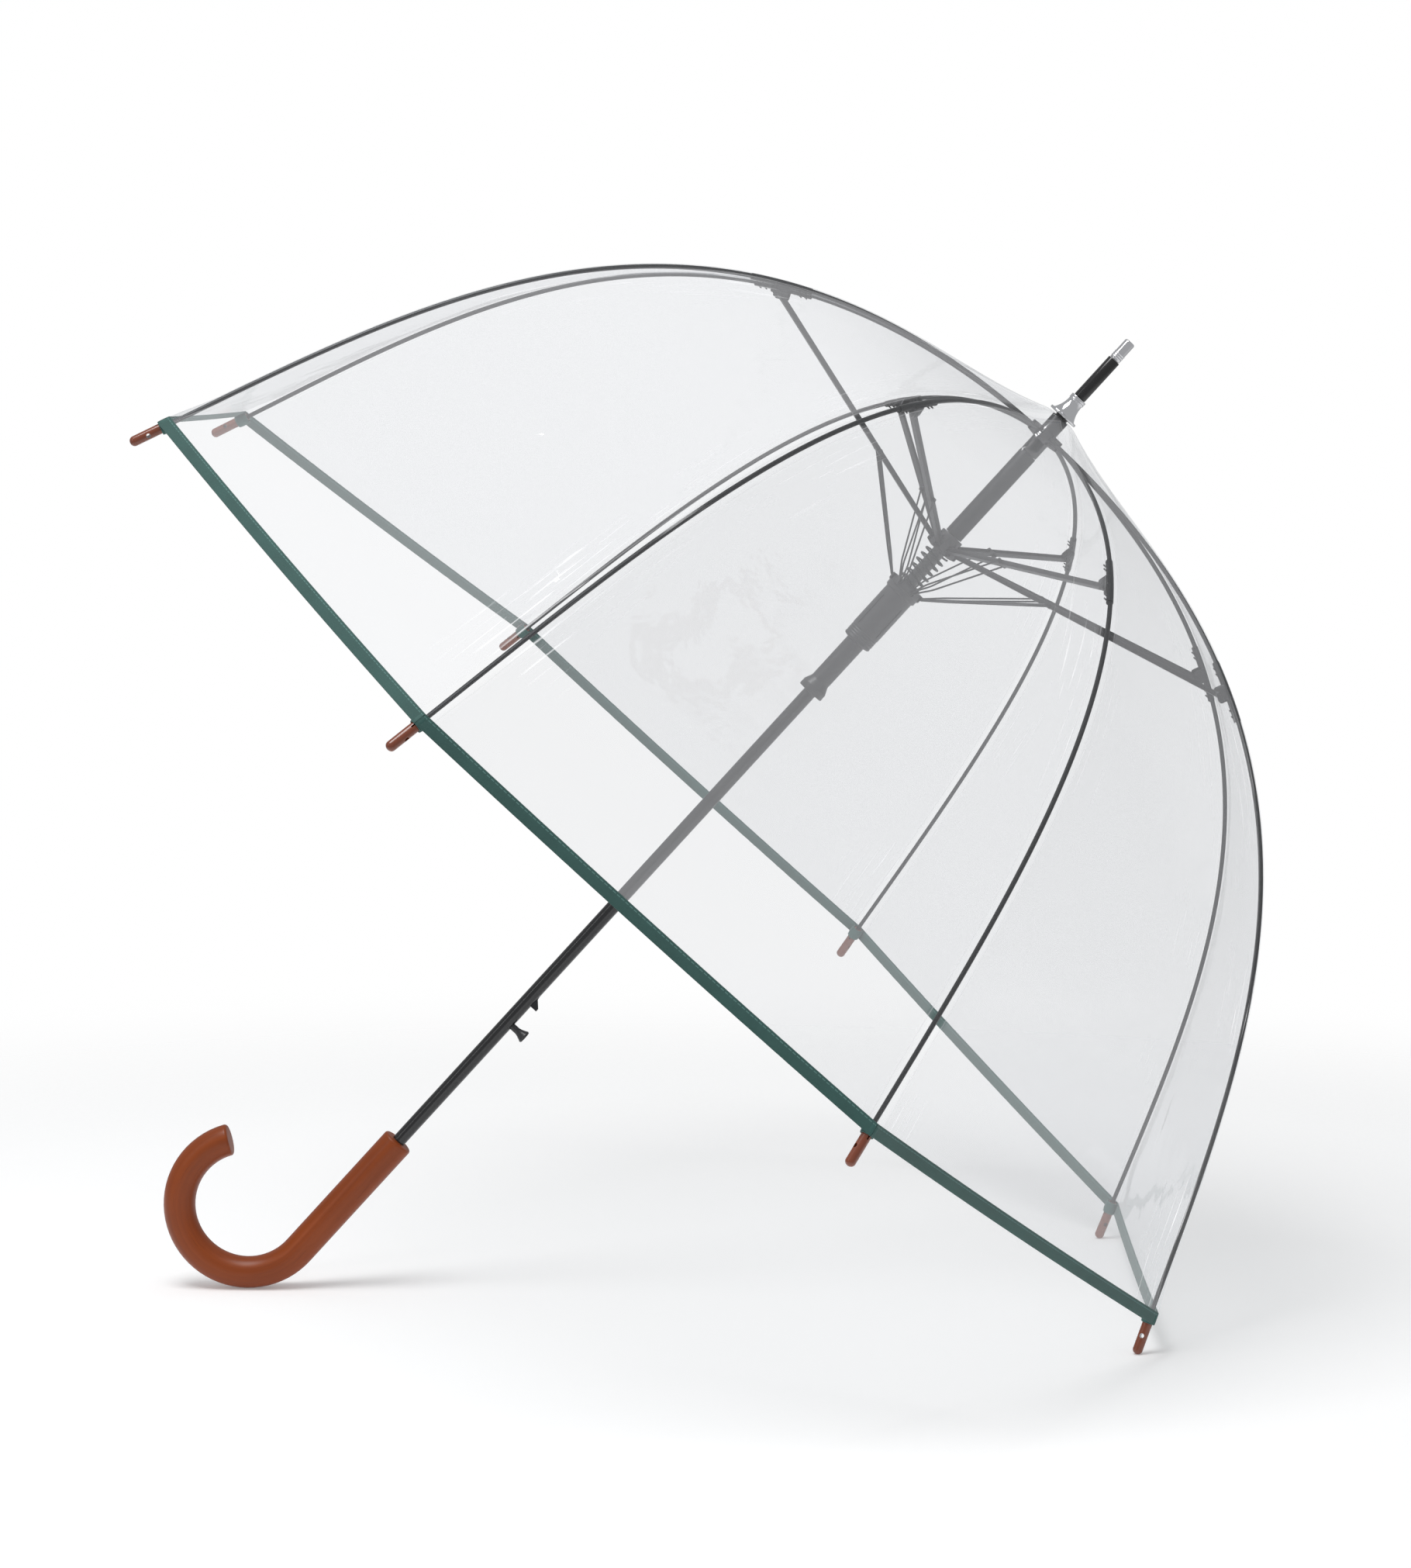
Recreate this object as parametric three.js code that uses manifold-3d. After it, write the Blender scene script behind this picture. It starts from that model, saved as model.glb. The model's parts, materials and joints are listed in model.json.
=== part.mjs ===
// A clear dome umbrella: eight springy ribs under one film canopy, a push-button frame and a crook handle.
//
// Everything is drawn upright first. The shaft runs along Z, the ferrule points up, and height zero is the
// crown, where the ribs meet. Each rib and its linkage lie in an upright plane through the shaft, drawn with X
// outwards and Z up, so every hinge of the frame turns about that plane's Y axis. The last section leans the
// umbrella over until the crook and two rib tips touch the floor, with the origin under the middle of it.

import * as THREE from "three";
import { mergeVertices } from "three/addons/utils/BufferGeometryUtils.js";
import Module from "manifold-3d";

const wasm = await Module();
wasm.setup();

// Driving dimensions, in millimetres and degrees. Heights are measured from the crown, up towards the ferrule.

const RIBS = 8;
const FIRST_RIB_ANGLE = 22.5; // from the plane that the crook lies in
const CLEARANCE = 0.3; // between pieces that touch on a real umbrella
const RUNNING_CLEARANCE = 0.5; // round the shaft, for what slides on it

// The dome.
const RIB_SPAN = 439.8; // out from the crown pivot to a rib's end
const RIB_DROP = 364; // down from the crown pivot to a rib's end
const RIB_RADIUS = 1.5;
const UPPER_HANDLE = { out: 0.678, down: 0.016 }; // shares of span and drop that set the rib's curve
const LOWER_HANDLE = { out: 0.837, down: 0.544 };
const NIB_LENGTH = 29;
const NIB_RADIUS = 3.25;
const NIB_HOLE_RADIUS = 1.5;
const FILM_THICKNESS = 0.6;
const FILM_GAP = 0.8; // from the ribs to the film
const BINDING_WIDTH = 8.5;
const BINDING_THICKNESS = 0.9;
const BINDING_OVERHANG = 8.2; // past a rib's end, along its nib
const RIM_DROOP = 1.5; // the rim's fall between two ribs

// The crown and the ferrule.
const CROWN_PIVOT_RADIUS = 10;
const CROWN_PIVOT_HEIGHT = -6;
const CROWN_RING_RADIUS = 12.6;
const CROWN_RING_HEIGHT = 7;
const HUB_WALL = 1.3; // round the shaft
const HUB_BOTTOM = -22;
const FILM_TOP = 9.6; // where the film meets the cap
const CAP_FLANGE_RADIUS = 10.5;
const CAP_FLANGE_THICKNESS = 1.6;
const CAP_SHOULDER_RADIUS = 8.4;
const CAP_WAIST_WALL = 0.4; // round the shaft
const CAP_RIM_WALL = 0.7;
const CAP_RIM_HEIGHT = 3.4;
const CAP_LENGTH = 16.8;
const FERRULE_LENGTH = 33.6;
const FERRULE_STEP = 0.2; // in from the shaft
const FERRULE_SPIGOT = 12; // into the end of the shaft
const FERRULE_TIP_LENGTH = 15.9;
const FERRULE_TIP_STEP = 0.6; // in from the ferrule
const TIP_RING_RISE = 0.3;
const TIP_RING_PITCH = 1.6;

// The shaft and the handle.
const SHAFT_RADIUS = 4.6;
const SHAFT_WALL = 0.7;
const HANDLE_GAP = 110; // from the button to the handle
const HANDLE_STRAIGHT = 102;
const HANDLE_RADIUS = 10.75;
const HANDLE_EDGE = 1.6;
const HANDLE_BORE_DEPTH = 45;
const CROOK_RADIUS = 46.3;
const CROOK_SWEEP = 213.6;

// The linkage.
const CLOSED_ANGLE = 4; // between a rib's upper length and the shaft when the dome is closed
const BRACKET_DISTANCE = 207; // along a rib from its crown pivot
const BRACKET_LENGTH = 42;
const BRACKET_RADIUS = 2.2;
const LUG_LENGTH = 11;
const LUG_DROP = 6.5; // from the rib's middle to the stretcher's pivot
const LUG_THICKNESS = 0.8;
const PIVOT_PIN_RADIUS = 1.1;
const STRETCHER_WIDTH = 4.2;
const STRETCHER_DEPTH = 3.2;
const STRETCHER_WALL = 0.7;
const STRUT_RIVET_DISTANCE = 74; // along a stretcher from its runner pivot
const STRUT_WIRE_RADIUS = 0.55;
const STRUT_PINCH = 20; // the length over which a strut's two wires draw together
const STRUT_LOOP_RADIUS = 1.1;
const STRUT_RIVET_RADIUS = 0.8;

// The runners and the opening spring.
const RUNNER_RING_RADIUS = 12.2;
const RUNNER_RING_HEIGHT = 9;
const RUNNER_RING_BOTTOM = -3.2; // from the runner's pivots
const RUNNER_BEVEL = 1.6;
const RUNNER_TUBE_RADIUS = 7.4;
const STOP_SLEEVE_WALL = 1.5;
const LOWER_PIVOT_DROP = 37; // from the main runner's pivots to the lower runner's
const LOWER_PIVOT_RADIUS = 13.5;
const LOWER_RING_RADIUS = 13;
const LOWER_RING_HEIGHT = 8.5;
const LOWER_RING_TOP = 2.4; // from the runner's pivots
const HOUSING_RADIUS = 10.6;
const HOUSING_LENGTH = 43;
const HOUSING_WALL = 1.4;
const NECK_RADIUS = 6.9;
const NECK_LENGTH = 34.3;
const COLLAR_RADIUS = 9.2;
const COLLAR_LENGTH = 11;
const COLLAR_FLARE = 5; // the tapered length from the neck to the collar's full radius
const COLLAR_LIP = 1.5; // below the window that the catch springs into
const SPRING_RADIUS = 8.2; // to the middle of its wire
const SPRING_WIRE_RADIUS = 0.7;
const SPRING_TURNS = 5;
const SPRING_SEAT = 4; // from the lower runner's pivots down to the spring's lower end

// The release.
const BUTTON_DROP = 27; // from the top of the catch
const BUTTON_STEM_RADIUS = 2.3;
const BUTTON_HEAD_RADIUS = 4.5;
const BUTTON_REACH = 16; // from the shaft's axis
const BUTTON_TRAVEL = 3.5;
const CATCH_LENGTH = 8.5;
const CATCH_LEAD = 2; // the gently sloping start of its ramp
const CATCH_WIDTH = 2.4;
const CATCH_REACH = 9.3;
const CATCH_FOOT = 1.2; // from the shaft's axis
const LEAF_WIDTH = 2;
const LEAF_THICKNESS = 0.4;
const LEAF_OVERRUN = 6; // past the button and the catch

const BLACK_STEEL = { color: 0x1d1d1f, roughness: 0.32, metalness: 0.6 };
const FRAME_STEEL = { color: 0x3c3d3f, roughness: 0.4, metalness: 0.7 };
const CHROME = { color: 0xdedfe2, roughness: 0.1, metalness: 1 };
const BROWN_WOOD = { color: 0x7d3f1d, roughness: 0.38, metalness: 0 };
const BROWN_NYLON = { color: 0x6e2f16, roughness: 0.3, metalness: 0 };
const BLACK_NYLON = { color: 0x2b2b2d, roughness: 0.45, metalness: 0 };
const FILM = { color: 0xe9edee, roughness: 0.08, metalness: 0, transparent: true, opacity: 0.3 };
const TAPE = { color: 0x2f6b5c, roughness: 0.8, metalness: 0 };

// Helpers.

/** A point of a rib's plane: x outwards from the shaft, z up. */
const at = (x, z) => new THREE.Vector3(x, 0, z);

/** The turn about Y that points a piece drawn along X in a direction of its plane. */
const turnTo = (direction) => -Math.atan2(direction.z, direction.x);

function named(name, geometry, finish) {
  const mesh = new THREE.Mesh(geometry, new THREE.MeshStandardMaterial(finish));
  mesh.name = name;
  return mesh;
}

function pivot(name, position) {
  const group = new THREE.Group();
  group.name = name;
  group.position.copy(position);
  return group;
}

function toSolid(geometry) {
  const bare = geometry.clone();
  bare.deleteAttribute("normal");
  bare.deleteAttribute("uv");
  const merged = mergeVertices(bare, 1e-4);
  return new wasm.Manifold(
    new wasm.Mesh({
      numProp: 3,
      vertProperties: merged.attributes.position.array,
      triVerts: new Uint32Array(merged.index.array),
    }),
  );
}

function toGeometry(solid) {
  const mesh = solid.getMesh();
  const geometry = new THREE.BufferGeometry();
  geometry.setAttribute("position", new THREE.BufferAttribute(mesh.vertProperties, 3));
  geometry.setIndex(new THREE.BufferAttribute(mesh.triVerts, 1));
  geometry.computeVertexNormals();
  return geometry;
}

const joined = (...parts) => toGeometry(parts.map(toSolid).reduce((all, next) => all.add(next)));

const cut = (body, ...tools) =>
  toGeometry(tools.map(toSolid).reduce((left, tool) => left.subtract(tool), toSolid(body)));

function box(lengthX, lengthY, lengthZ, x, y, z) {
  return new THREE.BoxGeometry(lengthX, lengthY, lengthZ).translate(x, y, z);
}

/** A round bar along Y, centred in its plane at x, z. */
function crossPin(radius, length, x, z, sides = 8) {
  return new THREE.CylinderGeometry(radius, radius, length, sides).translate(x, 0, z);
}

/** A piece turned about Z, from [radius, height] pairs. A profile that leaves the axis closes on itself. */
function turned(profile, sides) {
  const points = profile.map(([radius, height]) => new THREE.Vector2(radius, height));
  if (THREE.ShapeUtils.area(points) < 0) points.reverse();
  const onAxis = points[0].x === 0 && points.at(-1).x === 0;
  if (!onAxis) points.push(points[0].clone());
  return new THREE.LatheGeometry(points, sides).rotateX(Math.PI / 2);
}

/** A plain tube about Z between two heights. */
function tube(outer, inner, bottom, top, sides) {
  return turned([[inner, bottom], [outer, bottom], [outer, top], [inner, top]], sides);
}

/** A round wire of even thickness along a curve. */
function wire(curve, radius, sides, steps) {
  const section = new THREE.Shape().absarc(0, 0, radius, 0, 2 * Math.PI);
  return new THREE.ExtrudeGeometry(section, { curveSegments: sides / 2, steps, extrudePath: curve });
}

/** Stitches closed loops of points, one after the other. A round of loops meets itself, else the ends close. */
function skin(loops, round) {
  const count = loops[0].length;
  const indices = [];
  const pairs = round ? loops.length : loops.length - 1;
  for (let i = 0; i < pairs; i += 1) {
    const next = (i + 1) % loops.length;
    for (let j = 0; j < count; j += 1) {
      const k = (j + 1) % count;
      indices.push(i * count + j, i * count + k, next * count + j);
      indices.push(i * count + k, next * count + k, next * count + j);
    }
  }
  if (!round) {
    const last = (loops.length - 1) * count;
    for (let j = 1; j < count - 1; j += 1) {
      indices.push(0, j + 1, j);
      indices.push(last, last + j, last + j + 1);
    }
  }
  const geometry = new THREE.BufferGeometry().setFromPoints(loops.flat());
  geometry.setIndex(indices);
  return toSolid(geometry).volume() < 0 ? insideOut(geometry) : geometry;
}

function insideOut(geometry) {
  const flipped = Array.from(geometry.index.array).reverse();
  geometry.setIndex(flipped);
  return geometry;
}

/** Slots through a ring about Z, one at each rib, from an inner radius outwards. */
function ribSlots(width, fromRadius, bottom, height) {
  const length = 2 * fromRadius;
  return ribAngles.map((angle) =>
    box(length, width, height, fromRadius + length / 2, 0, bottom + height / 2).rotateZ(angle),
  );
}

// The rib's curve and the linkage that hangs from it, in a rib's plane and measured from the crown pivot.

const ribAngles = Array.from({ length: RIBS }, (_, i) =>
  THREE.MathUtils.degToRad(FIRST_RIB_ANGLE + (i * 360) / RIBS),
);

const ribCurve = new THREE.CubicBezierCurve3(
  at(0, 0),
  at(UPPER_HANDLE.out * RIB_SPAN, -UPPER_HANDLE.down * RIB_DROP),
  at(LOWER_HANDLE.out * RIB_SPAN, -LOWER_HANDLE.down * RIB_DROP),
  at(RIB_SPAN, -RIB_DROP),
);
const ribLength = ribCurve.getLength();

/** The rib's middle, direction and outward side at a distance along it. Past its end it runs straight on. */
function ribAt(distance) {
  const share = Math.min(distance / ribLength, 1);
  const tangent = ribCurve.getTangentAt(share);
  const point = ribCurve.getPointAt(share).addScaledVector(tangent, Math.max(distance - ribLength, 0));
  return { point, tangent, outward: at(-tangent.z, tangent.x) };
}

/** Part of the rib's curve as a curve of its own, measured from a given point. */
function ribPart(from, to, origin, count) {
  const points = Array.from({ length: count + 1 }, (_, i) =>
    ribAt(from + ((to - from) * i) / count).point.sub(origin),
  );
  return new THREE.CatmullRomCurve3(points);
}

const bracket = ribAt(BRACKET_DISTANCE);
const bracketPivot = bracket.point.clone().addScaledVector(bracket.outward, -LUG_DROP);
const stretcherLength = bracketPivot.length();
const runnerPivot = at(0, 2 * bracketPivot.z); // rib and stretcher are equal legs, so it stays at this radius
const toRunner = runnerPivot.clone().sub(bracketPivot).normalize();
const strutRivet = runnerPivot.clone().addScaledVector(toRunner, -STRUT_RIVET_DISTANCE);
const stretcherEnd = STRETCHER_DEPTH / 2 + 0.5; // past each of a stretcher's pivots
const lowerPivot = at(LOWER_PIVOT_RADIUS - CROWN_PIVOT_RADIUS, runnerPivot.z - LOWER_PIVOT_DROP);
const strutLength = strutRivet.distanceTo(lowerPivot);
const bendDistance = BRACKET_DISTANCE + BRACKET_LENGTH / 2 + 1;
const bend = ribAt(bendDistance).point;

// The closed linkage sets where the catch goes, and the catch sets the button, the handle and the shaft's length.
const closedAngle = THREE.MathUtils.degToRad(CLOSED_ANGLE);
const closedReach = stretcherLength * 2 - STRUT_RIVET_DISTANCE;
const closedRivet = at(STRUT_RIVET_DISTANCE * Math.sin(closedAngle), -closedReach * Math.cos(closedAngle));
const closedLowerDrop = Math.sqrt(strutLength ** 2 - (closedRivet.x - lowerPivot.x) ** 2);
const closedLowerHeight = CROWN_PIVOT_HEIGHT + closedRivet.z - closedLowerDrop;

const mainRunnerHeight = CROWN_PIVOT_HEIGHT + runnerPivot.z;
const lowerRunnerHeight = CROWN_PIVOT_HEIGHT + lowerPivot.z;
const housingBottom = LOWER_RING_TOP - LOWER_RING_HEIGHT - HOUSING_LENGTH;
const collarBottom = housingBottom - NECK_LENGTH - COLLAR_LENGTH;
const catchTop = closedLowerHeight + collarBottom + COLLAR_LIP + CLEARANCE + CATCH_LENGTH;
const buttonHeight = catchTop - BUTTON_DROP;
const handleTop = buttonHeight - HANDLE_GAP;
const shaftBottom = handleTop - HANDLE_BORE_DEPTH + CLEARANCE;
const fixedBore = SHAFT_RADIUS + CLEARANCE; // of what is fixed on the shaft
const runningBore = SHAFT_RADIUS + RUNNING_CLEARANCE; // of what slides on it
const hubRadius = fixedBore + HUB_WALL;
const ferruleRadius = SHAFT_RADIUS - FERRULE_STEP;
const capBottom = FILM_TOP + FILM_THICKNESS + 2 * CLEARANCE;
const ferruleBottom = capBottom + CAP_LENGTH;
const ferruleTop = ferruleBottom + FERRULE_LENGTH;
const shaftTop = ferruleBottom - CLEARANCE;
const crookHeight = handleTop - HANDLE_STRAIGHT;

// The ribs.

/** The upper length of a rib, from its flattened crown eye to its bracket, with the bracket crimped on. */
function ribUpper() {
  const eye = crossPin(1.9, 2.6, 0, 0);
  const rod = wire(ribPart(0, bendDistance - RIB_RADIUS, at(0, 0), 8), RIB_RADIUS, 6, 8);
  const centre = (distance) => {
    const place = ribAt(distance);
    return place.point.addScaledVector(place.outward, RIB_RADIUS - BRACKET_RADIUS);
  };
  const half = BRACKET_LENGTH / 2;
  const sleevePath = new THREE.CatmullRomCurve3([-half, 0, half].map((d) => centre(BRACKET_DISTANCE + d)));
  const sleeve = wire(sleevePath, BRACKET_RADIUS, 6, 2);
  const slot = STRETCHER_WIDTH + 2 * CLEARANCE;
  const lugHeight = LUG_DROP + 2;
  const ears = cut(
    box(LUG_LENGTH, slot + 2 * LUG_THICKNESS, lugHeight, 0, 0, -lugHeight / 2),
    box(LUG_LENGTH + 2, slot, lugHeight, 0, 0, -lugHeight / 2 - BRACKET_RADIUS),
  );
  const headLength = slot + 2 * LUG_THICKNESS + 1.2;
  const pin = crossPin(PIVOT_PIN_RADIUS, headLength, 0, -LUG_DROP, 6);
  const lug = joined(ears, pin).rotateY(turnTo(bracket.tangent)).translate(bracket.point.x, 0, bracket.point.z);
  return joined(eye, rod, sleeve, lug);
}

/** The lower length of a rib, from its bracket into its nib. */
function ribLower() {
  const end = ribLength + NIB_LENGTH / 2 - CLEARANCE;
  return wire(ribPart(bendDistance + RIB_RADIUS, end, bend, 13), RIB_RADIUS, 6, 13);
}

/** A nib along X from a rib's end, with a bore for the rod, a sewing hole and a split inner end. */
function nib() {
  const round = NIB_RADIUS;
  const bore = RIB_RADIUS + CLEARANCE;
  const depth = NIB_LENGTH / 2;
  const body = turned(
    [
      [bore, 0],
      [round - 0.5, 0],
      [round, 0.8],
      [round, NIB_LENGTH - round],
      [round * 0.8, NIB_LENGTH - round * 0.4],
      [0, NIB_LENGTH],
      [0, depth],
      [bore, depth],
    ],
    8,
  );
  const split = box(NIB_LENGTH * 0.4, 1, 2 * round + 1, NIB_LENGTH * 0.2 - 1, 0, 0);
  const hole = crossPin(NIB_HOLE_RADIUS, 2 * round + 1, NIB_LENGTH * 0.58, 0);
  return cut(body.rotateY(Math.PI / 2), split, hole);
}

// The linkage.

/** A channel along X from the bracket pivot to the runner pivot, open towards the rib, with a hole at each. */
function stretcher() {
  const length = stretcherLength + 2 * stretcherEnd;
  const middle = stretcherLength / 2;
  const inside = STRETCHER_WIDTH - 2 * STRETCHER_WALL;
  const rivetHole = STRUT_RIVET_RADIUS + CLEARANCE;
  return cut(
    box(length, STRETCHER_WIDTH, STRETCHER_DEPTH, middle, 0, 0),
    box(length + 1, inside, STRETCHER_DEPTH, middle, 0, -STRETCHER_WALL),
    crossPin(PIVOT_PIN_RADIUS + CLEARANCE, STRETCHER_WIDTH + 1, 0, 0, 6),
    crossPin(rivetHole, STRETCHER_WIDTH + 1, stretcherLength - STRUT_RIVET_DISTANCE, 0, 6),
  );
}

/** A hairpin of wire along X from its rivet to its loop, astride the stretcher. */
function strut() {
  const side = STRETCHER_WIDTH / 2 + CLEARANCE + STRUT_WIRE_RADIUS;
  const straight = strutLength - STRUT_PINCH;
  const loop = STRUT_LOOP_RADIUS;
  const corners = [
    [0, side],
    [straight, side],
    [strutLength - loop, loop],
    [strutLength - loop * 0.3, loop * 0.7],
    [strutLength, 0],
    [strutLength - loop * 0.3, -loop * 0.7],
    [strutLength - loop, -loop],
    [straight, -side],
    [0, -side],
  ].map(([x, y]) => new THREE.Vector3(x, y, 0));
  const loops = corners.map((corner, i) => {
    const ahead = corners[Math.min(i + 1, corners.length - 1)];
    const behind = corners[Math.max(i - 1, 0)];
    const across = ahead.clone().sub(behind).normalize().cross(new THREE.Vector3(0, 0, 1));
    return Array.from({ length: 5 }, (_, j) => {
      const angle = (j * 2 * Math.PI) / 5;
      const out = across.clone().multiplyScalar(Math.cos(angle) * STRUT_WIRE_RADIUS);
      return corner.clone().add(out).add(new THREE.Vector3(0, 0, Math.sin(angle) * STRUT_WIRE_RADIUS));
    });
  });
  const eye = 2 * STRUT_WIRE_RADIUS + 0.3;
  const eyes = [side, -side].map((y) => crossPin(1.7, eye, 0, 0, 6).translate(0, y, 0));
  const rivet = crossPin(STRUT_RIVET_RADIUS, 2 * side + eye + 0.8, 0, 0, 6);
  return joined(skin(loops, false), ...eyes, rivet);
}

/** One rib with its nib, stretcher and strut, hung from pivots that stand where the real ones turn. */
function ribAssembly(number, angle) {
  const plane = new THREE.Group();
  plane.rotation.z = angle;
  const crown = pivot(`pivot_crown_${number}`, at(CROWN_PIVOT_RADIUS, CROWN_PIVOT_HEIGHT));
  plane.add(crown);
  crown.add(named(`rib_upper_${number}`, ribUpper(), FRAME_STEEL));

  const elbow = pivot(`pivot_bend_${number}`, bend);
  crown.add(elbow);
  elbow.add(named(`rib_lower_${number}`, ribLower(), FRAME_STEEL));
  const end = ribAt(ribLength);
  const nibMesh = named(`nib_${number}`, nib(), BROWN_NYLON);
  nibMesh.position.copy(end.point).sub(bend);
  nibMesh.rotation.y = turnTo(end.tangent);
  elbow.add(nibMesh);

  const knee = pivot(`pivot_bracket_${number}`, bracketPivot);
  crown.add(knee);
  const stretcherMesh = named(`stretcher_${number}`, stretcher(), FRAME_STEEL);
  stretcherMesh.rotation.y = turnTo(toRunner);
  knee.add(stretcherMesh);

  const rivet = pivot(`pivot_rivet_${number}`, strutRivet.clone().sub(bracketPivot));
  knee.add(rivet);
  const strutMesh = named(`strut_${number}`, strut(), FRAME_STEEL);
  strutMesh.rotation.y = turnTo(lowerPivot.clone().sub(strutRivet));
  rivet.add(strutMesh);
  rivet.add(pivot(`pivot_lower_${number}`, lowerPivot.clone().sub(strutRivet)));
  knee.add(pivot(`pivot_runner_${number}`, runnerPivot.clone().sub(bracketPivot)));
  return plane;
}

// The film and its binding.

/** How far the rim hangs past the ribs' own rim, from 0 at one rib to 0 at the next. */
const droopAt = (share) => RIM_DROOP * 4 * share * (1 - share);

/** Points round the dome at one place along the ribs, given each point's share of the way to the next rib. */
function aroundDome(sharesPerGore, pointAt) {
  return ribAngles.flatMap((angle) => {
    const nextAngle = angle + (2 * Math.PI) / RIBS;
    return sharesPerGore.map((share) =>
      pointAt(share).map((point) => {
        const here = new THREE.Vector3(point.x * Math.cos(angle), point.x * Math.sin(angle), point.z);
        const there = new THREE.Vector3(point.x * Math.cos(nextAngle), point.x * Math.sin(nextAngle), point.z);
        return here.lerp(there, share);
      }),
    );
  });
}

/** A point beside the rib, measured from the shaft and the crown. */
function besideRib(distance, offset) {
  const place = ribAt(distance);
  const crownPivot = at(CROWN_PIVOT_RADIUS, CROWN_PIVOT_HEIGHT);
  return place.point.addScaledVector(place.outward, offset).add(crownPivot);
}

/** The one-piece film, flat from rib to rib, from the hole under the cap to the binding. */
function canopy() {
  const steps = 18;
  const inside = RIB_RADIUS + FILM_GAP;
  const drapeLength = ribLength * 0.25;
  const drape = FILM_TOP - CROWN_PIVOT_HEIGHT - inside;
  const filmPoint = (distance, offset) => {
    const drapeShare = Math.max(1 - distance / drapeLength, 0) ** 4;
    return besideRib(distance, offset).add(at(0, drape * drapeShare));
  };
  const section = (share) => {
    const end = ribLength + BINDING_OVERHANG - BINDING_WIDTH - CLEARANCE + droopAt(share);
    const distances = Array.from({ length: steps }, (_, i) => end * (i / (steps - 1)) ** 1.3);
    const holeEdge = at(hubRadius + 1.1, FILM_TOP);
    const under = [holeEdge, ...distances.map((distance) => filmPoint(distance, inside))];
    const over = distances.map((distance) => filmPoint(distance, inside + FILM_THICKNESS));
    over.unshift(holeEdge.clone().add(at(0, FILM_THICKNESS)));
    return [...under, ...over.reverse()];
  };
  return skin(aroundDome([0, 0.5], section), true);
}

/** The tape round the rim. It stands off far enough to pass over the nibs. */
function rimBinding() {
  const inner = NIB_RADIUS + 2 * CLEARANCE;
  const outer = inner + BINDING_THICKNESS;
  const section = (share) => {
    const edge = ribLength + BINDING_OVERHANG + droopAt(share);
    const back = edge - BINDING_WIDTH;
    return [besideRib(back, inner), besideRib(edge, inner), besideRib(edge, outer), besideRib(back, outer)];
  };
  return skin(aroundDome([0, 0.25, 0.5, 0.75], section), true);
}

// What stands on the shaft.

/** The notched crown that the ribs hinge in, with its hub down the shaft. */
function crownNotch() {
  const half = CROWN_RING_HEIGHT / 2;
  const bottom = CROWN_PIVOT_HEIGHT - half;
  const body = turned(
    [
      [fixedBore, HUB_BOTTOM],
      [hubRadius, HUB_BOTTOM],
      [hubRadius, bottom - 1],
      [CROWN_RING_RADIUS, bottom],
      [CROWN_RING_RADIUS, bottom + CROWN_RING_HEIGHT],
      [hubRadius, bottom + CROWN_RING_HEIGHT],
      [hubRadius, FILM_TOP - CLEARANCE],
      [fixedBore, FILM_TOP - CLEARANCE],
    ],
    16,
  );
  return cut(body, ...ribSlots(4, 7, bottom - 2, CROWN_RING_HEIGHT + 4));
}

/** The bright cap that clamps the film down on the crown: a flange, a hollow cone and a rim. */
function cap() {
  const top = ferruleBottom - CLEARANCE;
  const waist = top - CAP_RIM_HEIGHT;
  const waistRadius = fixedBore + CAP_WAIST_WALL;
  const rimRadius = fixedBore + CAP_RIM_WALL;
  const shoulder = capBottom + CAP_FLANGE_THICKNESS;
  return turned(
    [
      [fixedBore, capBottom],
      [CAP_FLANGE_RADIUS, capBottom],
      [CAP_FLANGE_RADIUS, shoulder],
      [CAP_SHOULDER_RADIUS, shoulder + 0.6],
      [(CAP_SHOULDER_RADIUS + 2 * waistRadius) / 3, (2 * shoulder + waist) / 3],
      [waistRadius, waist],
      [rimRadius, waist + 0.4],
      [rimRadius, top],
      [fixedBore, top],
    ],
    20,
  );
}

/** The solid black length of the ferrule, with a spigot down the end of the shaft. */
function ferruleSleeve() {
  const spigot = SHAFT_RADIUS - SHAFT_WALL - CLEARANCE;
  const bottom = ferruleBottom - FERRULE_SPIGOT;
  return turned(
    [
      [0, bottom],
      [spigot, bottom],
      [spigot, ferruleBottom],
      [ferruleRadius, ferruleBottom],
      [ferruleRadius, ferruleTop],
      [0, ferruleTop],
    ],
    16,
  );
}

/** The bright end of the ferrule, with three shallow rings and a flat end. */
function ferruleTip() {
  const bottom = ferruleTop + CLEARANCE;
  const top = bottom + FERRULE_TIP_LENGTH - CLEARANCE;
  const radius = ferruleRadius - FERRULE_TIP_STEP;
  const rings = [1, 2, 3].flatMap((ring) => [
    [radius, bottom + ring * TIP_RING_PITCH],
    [radius + TIP_RING_RISE, bottom + (ring + 0.25) * TIP_RING_PITCH],
    [radius, bottom + (ring + 0.5) * TIP_RING_PITCH],
  ]);
  return turned([[0, bottom], [radius, bottom], ...rings, [radius, top - 1], [radius - 0.8, top], [0, top]], 14);
}

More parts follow.
